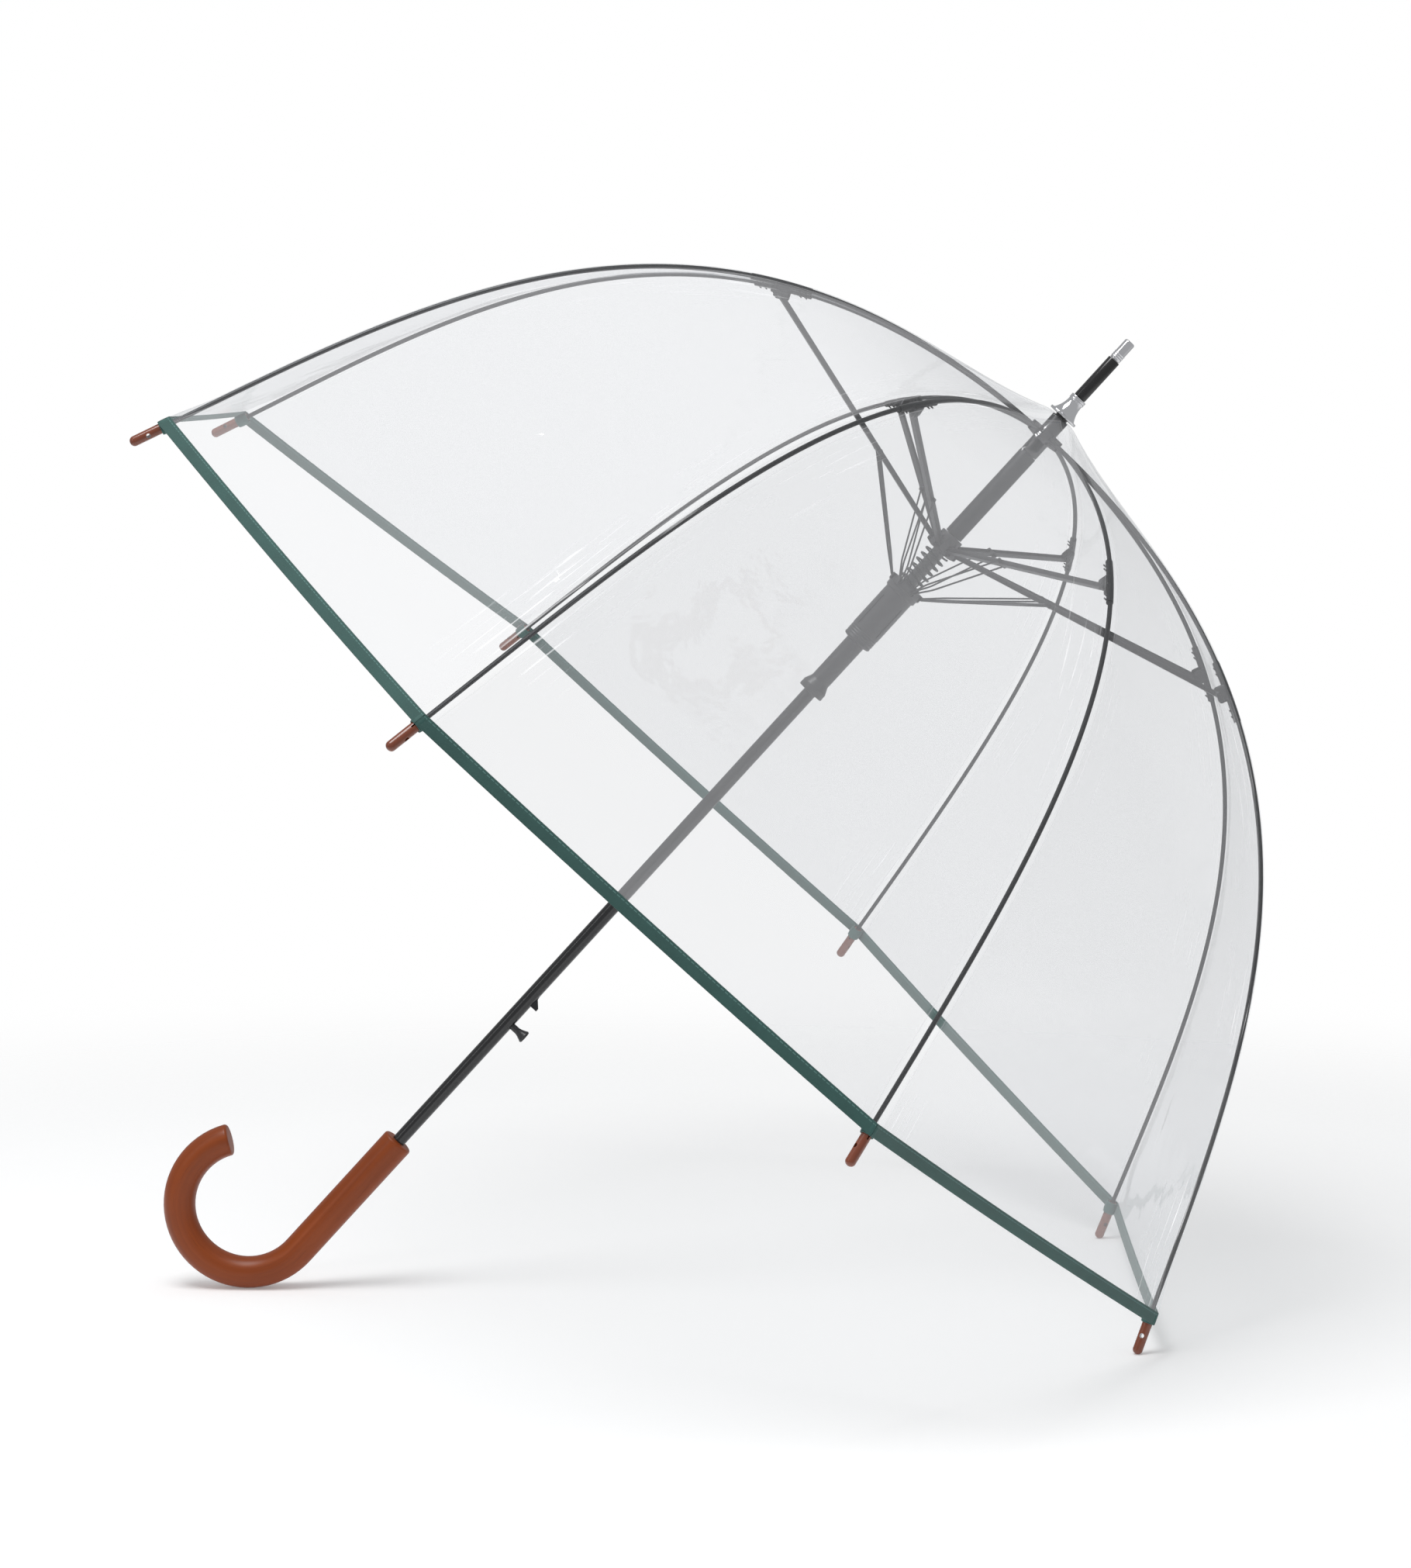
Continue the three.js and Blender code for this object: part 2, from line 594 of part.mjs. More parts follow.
/** The steel tube, slotted for the catch and drilled for the button. */
function shaft() {
  const inner = SHAFT_RADIUS - SHAFT_WALL;
  const slotLength = CATCH_LENGTH + 2 * CLEARANCE + 0.4;
  const slotMiddle = catchTop - CATCH_LENGTH / 2;
  const slot = box(SHAFT_RADIUS, CATCH_WIDTH + 2 * CLEARANCE, slotLength, SHAFT_RADIUS, 0, slotMiddle);
  const hole = new THREE.CylinderGeometry(1, 1, SHAFT_RADIUS, 12).rotateZ(Math.PI / 2);
  hole.scale(1, BUTTON_STEM_RADIUS + CLEARANCE, BUTTON_STEM_RADIUS + CLEARANCE);
  hole.translate(SHAFT_RADIUS, 0, buttonHeight);
  return cut(tube(SHAFT_RADIUS, inner, shaftBottom, shaftTop, 20), slot, hole);
}

/** The sleeve on the shaft that stops the main runner when the dome is open. */
function stopSleeve() {
  const top = HUB_BOTTOM - CLEARANCE;
  const bottom = mainRunnerHeight + RUNNER_RING_HEIGHT + CLEARANCE;
  return tube(fixedBore + STOP_SLEEVE_WALL, fixedBore, bottom, top, 20);
}

/** The upper runner: a short tube with a notched ring for the stretchers' ends. */
function mainRunner() {
  const ringTop = RUNNER_RING_BOTTOM + RUNNER_RING_HEIGHT;
  const bevelBottom = RUNNER_RING_BOTTOM - RUNNER_BEVEL;
  const collar = RUNNER_TUBE_RADIUS + 1;
  const body = turned(
    [
      [runningBore, bevelBottom],
      [RUNNER_TUBE_RADIUS, bevelBottom],
      [RUNNER_RING_RADIUS, RUNNER_RING_BOTTOM],
      [RUNNER_RING_RADIUS, ringTop - 2 * RUNNER_BEVEL],
      [collar, ringTop],
      [collar, RUNNER_RING_HEIGHT],
      [runningBore, RUNNER_RING_HEIGHT],
    ],
    16,
  );
  const slotDepth = Math.hypot(stretcherEnd, STRETCHER_DEPTH / 2) + CLEARANCE;
  const slotWidth = STRETCHER_WIDTH + 2 * CLEARANCE;
  const fromRadius = CROWN_PIVOT_RADIUS - slotDepth;
  return cut(body, ...ribSlots(slotWidth, fromRadius, bevelBottom - 1, ringTop - bevelBottom + 2));
}

/** The lower runner: a notched ring for the struts, the spring's housing, a neck and a latching collar. */
function lowerRunner() {
  const ringBottom = LOWER_RING_TOP - LOWER_RING_HEIGHT;
  const floor = housingBottom + HOUSING_WALL;
  const neckBottom = housingBottom - NECK_LENGTH;
  const inside = HOUSING_RADIUS - HOUSING_WALL;
  const bevel = 0.6;
  const body = turned(
    [
      [inside, LOWER_RING_TOP],
      [LOWER_RING_RADIUS, LOWER_RING_TOP],
      [LOWER_RING_RADIUS, ringBottom],
      [HOUSING_RADIUS, ringBottom - bevel],
      [HOUSING_RADIUS, housingBottom],
      [NECK_RADIUS, housingBottom - bevel],
      [NECK_RADIUS, neckBottom],
      [COLLAR_RADIUS, neckBottom - COLLAR_FLARE],
      [COLLAR_RADIUS, collarBottom],
      [runningBore, collarBottom],
      [runningBore, floor],
      [inside, floor],
    ],
    16,
  );
  const loopSpace = STRUT_LOOP_RADIUS + STRUT_WIRE_RADIUS + CLEARANCE;
  const slotWidth = 2 * loopSpace;
  const slotBottom = -loopSpace - 0.15;
  const fromRadius = LOWER_PIVOT_RADIUS - loopSpace - STRUT_WIRE_RADIUS;
  const slots = ribSlots(slotWidth, fromRadius, slotBottom, LOWER_RING_TOP - slotBottom + 1);
  const windowLength = CATCH_LENGTH + 4 * CLEARANCE;
  const windowMiddle = collarBottom + COLLAR_LIP + windowLength / 2;
  const window = box(COLLAR_RADIUS, CATCH_WIDTH + 4 * CLEARANCE, windowLength, COLLAR_RADIUS, 0, windowMiddle);
  return cut(body, ...slots, window);
}

/** The opening spring, between the main runner and the lower runner's ring. */
function openingSpring() {
  const top = RUNNER_RING_BOTTOM - RUNNER_BEVEL - CLEARANCE - SPRING_WIRE_RADIUS;
  const bottom = -LOWER_PIVOT_DROP - SPRING_SEAT;
  const perTurn = 9;
  const count = SPRING_TURNS * perTurn;
  const points = Array.from({ length: count + 1 }, (_, i) => {
    const angle = (i * 2 * Math.PI) / perTurn;
    const height = top + ((bottom - top) * i) / count;
    return new THREE.Vector3(SPRING_RADIUS * Math.cos(angle), SPRING_RADIUS * Math.sin(angle), height);
  });
  return wire(new THREE.CatmullRomCurve3(points), SPRING_WIRE_RADIUS, 6, count);
}

// The release, drawn with the button's travel along X.

function releaseButton() {
  const stemEnd = SHAFT_RADIUS + BUTTON_TRAVEL + CLEARANCE;
  return turned(
    [
      [0, 0.6],
      [BUTTON_STEM_RADIUS, 0.6],
      [BUTTON_STEM_RADIUS, stemEnd],
      [BUTTON_HEAD_RADIUS - 0.6, BUTTON_REACH - 2.4],
      [BUTTON_HEAD_RADIUS, BUTTON_REACH - 1.2],
      [BUTTON_HEAD_RADIUS - 0.8, BUTTON_REACH],
      [0, BUTTON_REACH],
    ],
    14,
  ).rotateY(Math.PI / 2);
}

/** The sheet-steel catch: a ramp that the runner pushes in, a flat face that holds it, and a foot inside. */
function catchTongue() {
  const outline = new THREE.Shape();
  outline.moveTo(CATCH_FOOT, 0);
  outline.lineTo(SHAFT_RADIUS, 0);
  outline.lineTo(SHAFT_RADIUS + CLEARANCE, -CATCH_LEAD);
  outline.lineTo(CATCH_REACH, -CATCH_LENGTH + 2);
  outline.lineTo(CATCH_REACH, -CATCH_LENGTH);
  outline.lineTo(CATCH_FOOT, -CATCH_LENGTH);
  const plate = new THREE.ExtrudeGeometry(outline, { depth: CATCH_WIDTH, bevelEnabled: false });
  return plate.rotateX(Math.PI / 2).translate(0, CATCH_WIDTH / 2, 0);
}

/** The bowed leaf inside the shaft that pushes the catch and the button out. */
function leafSpring() {
  const back = SHAFT_WALL + 2 * LEAF_THICKNESS - SHAFT_RADIUS;
  const low = buttonHeight - LEAF_OVERRUN;
  const high = catchTop + LEAF_OVERRUN;
  const bow = new THREE.QuadraticBezierCurve3(at(back, low), at(CATCH_FOOT / 2, (low + high) / 2), at(back, high));
  const halfWidth = LEAF_WIDTH / 2;
  const halfThickness = LEAF_THICKNESS / 2;
  const section = new THREE.Shape();
  section.moveTo(-halfWidth, -halfThickness);
  section.lineTo(halfWidth, -halfThickness);
  section.lineTo(halfWidth, halfThickness);
  section.lineTo(-halfWidth, halfThickness);
  return new THREE.ExtrudeGeometry(section, { steps: 8, extrudePath: bow });
}

// The handle.

/** The bent wooden handle, with softened ends and a blind bore for the shaft. */
function handle() {
  const sides = 14;
  const arcSteps = 18;
  const loops = [];
  const addLoop = (centre, outward, radius) => {
    const side = new THREE.Vector3(0, 1, 0);
    loops.push(
      Array.from({ length: sides }, (_, j) => {
        const angle = (j * 2 * Math.PI) / sides;
        const out = outward.clone().multiplyScalar(radius * Math.cos(angle));
        return centre.clone().add(out).addScaledVector(side, radius * Math.sin(angle));
      }),
    );
  };
  const soft = HANDLE_RADIUS - HANDLE_EDGE;
  addLoop(at(0, handleTop), at(1, 0), soft);
  addLoop(at(0, handleTop - HANDLE_EDGE), at(1, 0), HANDLE_RADIUS);
  const crookCentre = at(-CROOK_RADIUS, crookHeight);
  const onArc = (angle, radius) => {
    const outward = at(Math.cos(angle), -Math.sin(angle));
    addLoop(crookCentre.clone().addScaledVector(outward, CROOK_RADIUS), outward, radius);
  };
  const sweep = THREE.MathUtils.degToRad(CROOK_SWEEP);
  const edgeAngle = HANDLE_EDGE / CROOK_RADIUS;
  for (let i = 0; i <= arcSteps; i += 1) onArc(((sweep - edgeAngle) * i) / arcSteps, HANDLE_RADIUS);
  onArc(sweep, soft);
  const boreTop = handleTop + 1;
  const bore = new THREE.CylinderGeometry(1, 1, HANDLE_BORE_DEPTH + 1, 20).rotateX(Math.PI / 2);
  bore.scale(fixedBore, fixedBore, 1);
  bore.translate(0, 0, boreTop - (HANDLE_BORE_DEPTH + 1) / 2);
  return cut(skin(loops, false), bore);
}

// The umbrella, upright.

function standing() {
  const upright = new THREE.Group();
  ribAngles.forEach((angle, i) => upright.add(ribAssembly(i + 1, angle)));
  upright.add(named("canopy", canopy(), FILM));
  upright.add(named("rim_binding", rimBinding(), TAPE));
  upright.add(named("crown_notch", crownNotch(), BLACK_NYLON));
  upright.add(named("cap", cap(), CHROME));
  upright.add(named("ferrule_sleeve", ferruleSleeve(), BLACK_NYLON));
  upright.add(named("ferrule_tip", ferruleTip(), CHROME));
  upright.add(named("shaft", shaft(), BLACK_STEEL));
  upright.add(named("stop_sleeve", stopSleeve(), FRAME_STEEL));
  upright.add(named("handle", handle(), BROWN_WOOD));

  const mainRunnerPlace = pivot("place_main_runner", at(0, mainRunnerHeight));
  mainRunnerPlace.add(named("main_runner", mainRunner(), BLACK_NYLON));
  mainRunnerPlace.add(named("opening_spring", openingSpring(), FRAME_STEEL));
  upright.add(mainRunnerPlace);
  const lowerRunnerPlace = pivot("place_lower_runner", at(0, lowerRunnerHeight));
  lowerRunnerPlace.add(named("lower_runner", lowerRunner(), BLACK_NYLON));
  upright.add(lowerRunnerPlace);

  const buttonPlace = pivot("place_button", at(0, buttonHeight));
  buttonPlace.add(named("release_button", releaseButton(), BLACK_NYLON));
  upright.add(buttonPlace);
  const catchPlace = pivot("place_catch", at(0, catchTop));
  catchPlace.add(named("catch", catchTongue(), FRAME_STEEL));
  upright.add(catchPlace);
  upright.add(named("leaf_spring", leafSpring(), FRAME_STEEL));
  return upright;
}

/** The lean at which the crook's underside and the lowest two rib tips are level. */
function restingLean() {
  const nibEnd = besideRib(ribLength + NIB_LENGTH - NIB_RADIUS, 0);
  const across = nibEnd.x * Math.cos(ribAngles[0]) + CROOK_RADIUS;
  const along = crookHeight - nibEnd.z;
  const difference = CROOK_RADIUS + HANDLE_RADIUS - NIB_RADIUS;
  return Math.asin(difference / Math.hypot(across, along)) - Math.atan2(along, across);
}

function atRest() {
  const umbrella = standing();
  umbrella.rotation.y = restingLean();
  const bounds = new THREE.Box3().setFromObject(umbrella, true);
  const middle = bounds.getCenter(new THREE.Vector3());
  umbrella.position.set(-middle.x, -middle.y, -bounds.min.z);
  const group = new THREE.Group();
  group.name = "umbrella";
  group.add(umbrella);
  return group;
}

export default atRest();
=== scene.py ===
"""A clear dome umbrella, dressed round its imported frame.

Every piece is drawn upright first: Z runs up the shaft from the crown, where the ribs meet, and X points
to the button's side. A rib's plane has X out from the shaft and Y round it. Stand turns all of it into the
frame's lean.
"""

import json
import logging
import math
from collections.abc import Callable, Sequence
from dataclasses import dataclass
from enum import Enum
from functools import cached_property

import bpy
from mathutils import Matrix, Vector

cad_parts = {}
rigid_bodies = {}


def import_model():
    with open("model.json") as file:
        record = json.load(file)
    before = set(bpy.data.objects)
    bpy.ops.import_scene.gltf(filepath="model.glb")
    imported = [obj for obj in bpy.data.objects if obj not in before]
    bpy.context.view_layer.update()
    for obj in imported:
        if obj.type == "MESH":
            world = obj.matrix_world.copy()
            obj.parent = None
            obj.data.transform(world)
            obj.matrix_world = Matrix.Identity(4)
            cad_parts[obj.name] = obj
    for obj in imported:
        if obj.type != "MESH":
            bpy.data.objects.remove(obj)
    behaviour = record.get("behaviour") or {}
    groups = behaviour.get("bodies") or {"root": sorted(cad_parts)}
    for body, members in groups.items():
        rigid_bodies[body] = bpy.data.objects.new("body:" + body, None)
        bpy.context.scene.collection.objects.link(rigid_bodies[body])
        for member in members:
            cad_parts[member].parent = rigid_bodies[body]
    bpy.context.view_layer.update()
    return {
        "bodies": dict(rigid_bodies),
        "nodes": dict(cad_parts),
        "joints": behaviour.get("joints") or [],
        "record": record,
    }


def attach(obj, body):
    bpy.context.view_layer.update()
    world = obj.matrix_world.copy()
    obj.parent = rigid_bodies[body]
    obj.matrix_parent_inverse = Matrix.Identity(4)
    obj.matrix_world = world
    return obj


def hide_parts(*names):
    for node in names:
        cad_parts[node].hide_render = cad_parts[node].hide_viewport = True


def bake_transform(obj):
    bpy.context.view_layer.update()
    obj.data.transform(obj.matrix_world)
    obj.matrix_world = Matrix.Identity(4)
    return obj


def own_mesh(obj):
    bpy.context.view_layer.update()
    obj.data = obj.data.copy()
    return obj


LOG = logging.getLogger("umbrella")
MM = 0.001
RIBS = 8
FULL_TURN = 2 * math.pi
GORE = FULL_TURN / RIBS

Point = tuple[float, float]


class Side(Enum):
    """The two halves of a gore that meet at a rib, by the way they go round the shaft."""

    LEFT = -1
    RIGHT = 1


class Level(Enum):
    """The three lengths of film on a rib."""

    CROWN = "crown"
    SHOULDER = "shoulder"
    SKIRT = "skirt"


class Slot(Enum):
    """The record's material slots."""

    FILM = "clear_film"
    TAPE = "green_tape"
    WOOD = "brown_wood"
    NYLON = "brown_plastic"
    SHAFT = "black_steel"
    FRAME = "frame_steel"
    CHROME = "chrome"
    BLACK = "black_plastic"


# The frame that everything is drawn in.


@dataclass(frozen=True)
class Stand:
    """The umbrella's own upright frame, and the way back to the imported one."""

    matrix: Matrix
    joints: dict[str, dict]
    nodes: dict[str, bpy.types.Object]

    @classmethod
    def from_frame(cls, frame: dict, pivot_height: float) -> "Stand":
        """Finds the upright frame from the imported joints.

        Args:
            pivot_height: The crown pivots' height above the crown.

        Returns:
            The stand.
        """
        joints = {joint["name"]: joint for joint in frame["joints"]}
        up = Vector(joints["lower_runner_slide"]["axis"]).normalized()
        front = -Vector(joints["button_press"]["axis"]).normalized()
        names = ["canopy_fold"] + [f"rib_fold_{number}" for number in range(2, RIBS + 1)]
        middle = sum((Vector(joints[name]["pos_m"]) for name in names), Vector()) / RIBS
        matrix = Matrix((front, up.cross(front), up)).transposed().to_4x4()
        matrix.translation = middle - up * pivot_height
        return cls(matrix, joints, frame["nodes"])

    def rib_matrix(self, number: int) -> Matrix:
        """The plane of a rib, numbered from 1."""
        return self.matrix @ Matrix.Rotation(rib_angle(number), 4, "Z")

    def pivot(self, joint: str) -> Vector:
        """A joint's place in its rib's plane, out from the shaft and up from the crown."""
        place = self.matrix.inverted() @ Vector(self.joints[joint]["pos_m"])
        return Vector((math.hypot(place.x, place.y), 0, place.z))

    def extent(self, node: str) -> tuple[Vector, Vector]:
        """Measures a node in the upright frame.

        Args:
            node: The CAD node's name.

        Returns:
            Its lowest and its highest corner.
        """
        back = self.matrix.inverted()
        points = [back @ vertex.co for vertex in self.nodes[node].data.vertices]
        low = Vector([min(point[i] for point in points) for i in range(3)])
        high = Vector([max(point[i] for point in points) for i in range(3)])
        return low, high


def rib_angle(number: int) -> float:
    """How far round the shaft a rib stands from the crook's plane. The ribs are numbered from 1."""
    return GORE * (number - 0.5)


def flat(x: float, z: float) -> Vector:
    """A point of a rib's plane."""
    return Vector((x, 0, z))


def squared(value: float, power: float) -> float:
    """Pushes a sine or cosine out towards 1, which squares off a round section."""
    return math.copysign(abs(value) ** power, value)


def turn_to(direction: Vector) -> Matrix:
    """The turn about Y that points a piece drawn along X in a direction of its plane."""
    return Matrix.Rotation(-math.atan2(direction.z, direction.x), 4, "Y")


@dataclass(frozen=True)
class RibLine:
    """The curve of every rib in its own plane: a cubic from the crown pivot to the rib's end."""

    pivot_radius: float = 10 * MM
    pivot_height: float = -6 * MM
    span: float = 439.8 * MM
    drop: float = 364 * MM
    upper_handle: Point = (0.678, 0.016)
    lower_handle: Point = (0.837, 0.544)
    radius: float = 1.5 * MM
    steps: int = 500

    @cached_property
    def table(self) -> list[tuple[float, Vector]]:
        """Points along the curve, each with its distance from the crown pivot."""
        start = flat(self.pivot_radius, self.pivot_height)
        corners = [
            start,
            start + flat(self.upper_handle[0] * self.span, -self.upper_handle[1] * self.drop),
            start + flat(self.lower_handle[0] * self.span, -self.lower_handle[1] * self.drop),
            start + flat(self.span, -self.drop),
        ]
        rows = [(0.0, start)]
        for i in range(1, self.steps + 1):
            t = i / self.steps
            weights = [(1 - t) ** 3, 3 * t * (1 - t) ** 2, 3 * t * t * (1 - t), t**3]
            point = sum((corner * weight for corner, weight in zip(corners, weights)), Vector())
            rows.append((rows[-1][0] + (point - rows[-1][1]).length, point))
        return rows

    @property
    def length(self) -> float:
        """The rod's length from its pivot to its end."""
        return self.table[-1][0]

    def at(self, distance: float) -> tuple[Vector, Vector]:
        """Follows the rod, which runs straight on past both ends.

        Args:
            distance: How far along the rod, in metres.

        Returns:
            The rod's middle and its direction there.
        """
        inside = min(max(distance, 0.0), self.length)
        low, high = 0, self.steps
        while high - low > 1:
            half = (low + high) // 2
            low, high = (half, high) if self.table[half][0] <= inside else (low, half)
        (before, start), (after, end) = self.table[low], self.table[high]
        share = (inside - before) / (after - before)
        tangent = self.tangent(low).lerp(self.tangent(high), share).normalized()
        point = start.lerp(end, share)
        return point + tangent * (distance - inside), tangent

    def tangent(self, row: int) -> Vector:
        """The direction at one row of the table."""
        before, after = max(row - 1, 0), min(row + 1, self.steps)
        return (self.table[after][1] - self.table[before][1]).normalized()

    def beside(self, distance: float, offset: float) -> Vector:
        """A point outside the rod by an offset, at a distance along it."""
        point, tangent = self.at(distance)
        return point + flat(-tangent.z, tangent.x) * offset

    def distance_at(self, point: Vector) -> float:
        """The distance along the rod of the place nearest to a point of its plane."""
        return min(self.table, key=lambda row: (row[1] - point).length_squared)[0]


# Modelling steps that every sub-assembly shares.


class Bench:
    """Makes, cuts and finishes meshes with the operators a modeller would use."""

    @staticmethod
    def clear() -> None:
        """Leaves edit mode and selects nothing."""
        if bpy.context.object and bpy.context.object.mode != "OBJECT":
            bpy.ops.object.mode_set(mode="OBJECT")
        bpy.ops.object.select_all(action="DESELECT")

    @staticmethod
    def pick(piece: bpy.types.Object) -> None:
        """Selects one piece only and makes it the active one.

        Args:
            piece: The piece.
        """
        Bench.clear()
        piece.select_set(True)
        bpy.context.view_layer.objects.active = piece

    @staticmethod
    def turned(profile: Sequence[Point], sides: int = 64) -> bpy.types.Object:
        """Spins a profile of radius and height pairs about Z, as on a lathe.

        Args:
            profile: The outline in order. It starts and ends on the axis, or its first point is its last.
            sides: How many steps the turn takes.

        Returns:
            The turned piece.
        """
        Bench.clear()
        bpy.ops.mesh.primitive_plane_add(size=MM, location=(0, 0, 0))
        piece = bpy.context.object
        bpy.ops.object.mode_set(mode="EDIT")
        bpy.ops.mesh.select_all(action="SELECT")
        bpy.ops.mesh.merge(type="CENTER")
        bpy.ops.transform.translate(value=(profile[0][0], 0, profile[0][1]))
        for (radius, height), (next_radius, next_height) in zip(profile, profile[1:]):
            step = (next_radius - radius, 0, next_height - height)
            bpy.ops.mesh.extrude_region_move(TRANSFORM_OT_translate={"value": step})
        bpy.ops.mesh.select_all(action="SELECT")
        bpy.ops.mesh.spin(steps=sides, angle=FULL_TURN, center=(0, 0, 0), axis=(0, 0, 1))
        Bench.heal()
        return piece

    @staticmethod
    def heal() -> None:
        """Merges doubles and points every face outwards, then leaves edit mode."""
        bpy.ops.mesh.select_all(action="SELECT")
        bpy.ops.mesh.remove_doubles(threshold=2e-6)
        bpy.ops.mesh.select_all(action="SELECT")
        bpy.ops.mesh.normals_make_consistent(inside=False)
        bpy.ops.object.mode_set(mode="OBJECT")

    @staticmethod
    def block(size: Sequence[float], centre: Sequence[float]) -> bpy.types.Object:
        """Makes a block.

        Args:
            size: Its three sides.
            centre: Its middle.

        Returns:
            The block.
        """
        Bench.clear()
        bpy.ops.mesh.primitive_cube_add(size=1, location=centre)
        piece = bpy.context.object
        piece.scale = size
        bpy.ops.object.transform_apply(location=True, rotation=True, scale=True)
        return piece

    @staticmethod
    def pin(radius: float, length: float, centre: Sequence[float], sides: int = 24) -> bpy.types.Object:
        """Makes a round bar along Y.

        Args:
            radius: Its radius.
            length: Its length.
            centre: Its middle.
            sides: How many sides stand for the round.

        Returns:
            The bar.
        """
        Bench.clear()
        turn = (math.pi / 2, 0, 0)
        bpy.ops.mesh.primitive_cylinder_add(
            vertices=sides, radius=radius, depth=length, location=centre, rotation=turn
        )
        bpy.ops.object.transform_apply(location=True, rotation=True, scale=True)
        return bpy.context.object

    @staticmethod
    def swept(points: Sequence[Vector], radius: float, sides: int = 12) -> bpy.types.Object:
        """Makes a round wire of even thickness.

        Args:
            points: The line that it follows.
            radius: Half its thickness.
            sides: How many sides stand for the round.

        Returns:
            The wire.
        """
        Bench.clear()
        bpy.ops.curve.primitive_bezier_curve_add(location=(0, 0, 0))
        line = bpy.context.object
        line.data.splines.clear()
        spline = line.data.splines.new("POLY")
        spline.points.add(len(points) - 1)
        for target, point in zip(spline.points, points):
            target.co = (*point, 1)
        line.data.bevel_depth = radius
        line.data.bevel_resolution = max(sides // 4 - 1, 0)
        line.data.use_fill_caps = True
        bpy.ops.object.convert(target="MESH")
        piece = bpy.context.object
        bpy.ops.object.mode_set(mode="EDIT")
        Bench.heal()
        return piece

    @staticmethod
    def woven(
        columns: int,
        rows: int,
        place: Callable[[float, float], Vector],
        measure: Callable[[float, float], Point],
    ) -> bpy.types.Object:
        """Lays a grid over a surface.

        Args:
            columns: Steps along the first share.
            rows: Steps along the second share.
            place: Gives a point for two shares from 0 to 1.
            measure: Gives the UV there, in metres.

        Returns:
            The sheet.
        """
        Bench.clear()
        bpy.ops.mesh.primitive_grid_add(
            x_subdivisions=columns, y_subdivisions=rows, size=1, location=(0, 0, 0)
        )
        piece = bpy.context.object
        shares = [(vertex.co.x + 0.5, vertex.co.y + 0.5) for vertex in piece.data.vertices]
        for vertex, share in zip(piece.data.vertices, shares):
            vertex.co = place(*share)
        layer = piece.data.uv_layers.active.data
        for loop in piece.data.loops:
            layer[loop.index].uv = measure(*shares[loop.vertex_index])
        return piece

    @staticmethod
    def seamed(piece: bpy.types.Object) -> None:
        """Closes the seam of a grid that was laid round a section.

        Args:
            piece: The grid.
        """
        Bench.pick(piece)
        bpy.ops.object.mode_set(mode="EDIT")
        Bench.heal()

    @staticmethod
    def apply(piece: bpy.types.Object, kind: str, **settings: object) -> None:
        """Adds a modifier and applies it.

        Args:
            piece: The piece that it works on.
            kind: The modifier's type.
            **settings: Its settings.
        """
        Bench.pick(piece)
        modifier = piece.modifiers.new(kind.title(), kind)
        for key, value in settings.items():
            setattr(modifier, key, value)
        bpy.ops.object.modifier_apply(modifier=modifier.name)

    @staticmethod
    def carve(piece: bpy.types.Object, cutters: Sequence[bpy.types.Object]) -> None:
        """Cuts shapes out of a piece and bins them.

        Args:
            piece: The piece.
            cutters: One or more shapes.
        """
        cutter = Bench.joined(cutters)
        Bench.apply(piece, "BOOLEAN", object=cutter, operation="DIFFERENCE", solver="EXACT", use_self=True)
        bpy.data.objects.remove(cutter)

    @staticmethod
    def joined(parts: Sequence[bpy.types.Object]) -> bpy.types.Object:
        """Makes one object of several.

        Args:
            parts: The objects, of which the first takes in the rest.

        Returns:
            The joined object.
        """
        Bench.clear()
        for part in parts:
            part.select_set(True)
        bpy.context.view_layer.objects.active = parts[0]
        if len(parts) > 1:
            bpy.ops.object.join()
        return bpy.context.view_layer.objects.active

    @staticmethod
    def copied(piece: bpy.types.Object, matrix: Matrix) -> bpy.types.Object:
        """Copies a piece, with a mesh of its own.

        Args:
            piece: The piece.
            matrix: What the copy's mesh is put through.

        Returns:
            The copy.
        """
        Bench.pick(piece)
        bpy.ops.object.duplicate(linked=False)
        copy = bpy.context.object
        copy.data.transform(matrix)
        return copy

    @staticmethod
    def smooth(piece: bpy.types.Object, degrees: float = 35) -> None:
        """Shades a piece smooth, apart from its sharp edges."""
        Bench.pick(piece)
        bpy.ops.object.shade_smooth_by_angle(angle=math.radians(degrees))


def rounded(profile: Sequence[Point], radius: float, steps: int = 3) -> list[Point]:
    """Rounds the inner corners of an open outline.

    Args:
        profile: The outline's corners.
        radius: The most that is taken off each side of a corner.
        steps: Points on each rounded corner, less one.

    Returns:
        The outline with an arc's worth of points at every corner but the first and last.
    """
    points = [profile[0]]
    for before, corner, after in zip(profile, profile[1:], profile[2:]):
        here = Vector(corner)
        back, ahead = Vector(before) - here, Vector(after) - here
        reach = min(radius, back.length * 0.45, ahead.length * 0.45)
        start, end = here + back.normalized() * reach, here + ahead.normalized() * reach
        for i in range(steps + 1):
            t = i / steps
            point = start * (1 - t) ** 2 + here * 2 * t * (1 - t) + end * t * t
            points.append((point.x, point.y))
    points.append(profile[-1])
    return points


# Finishes.


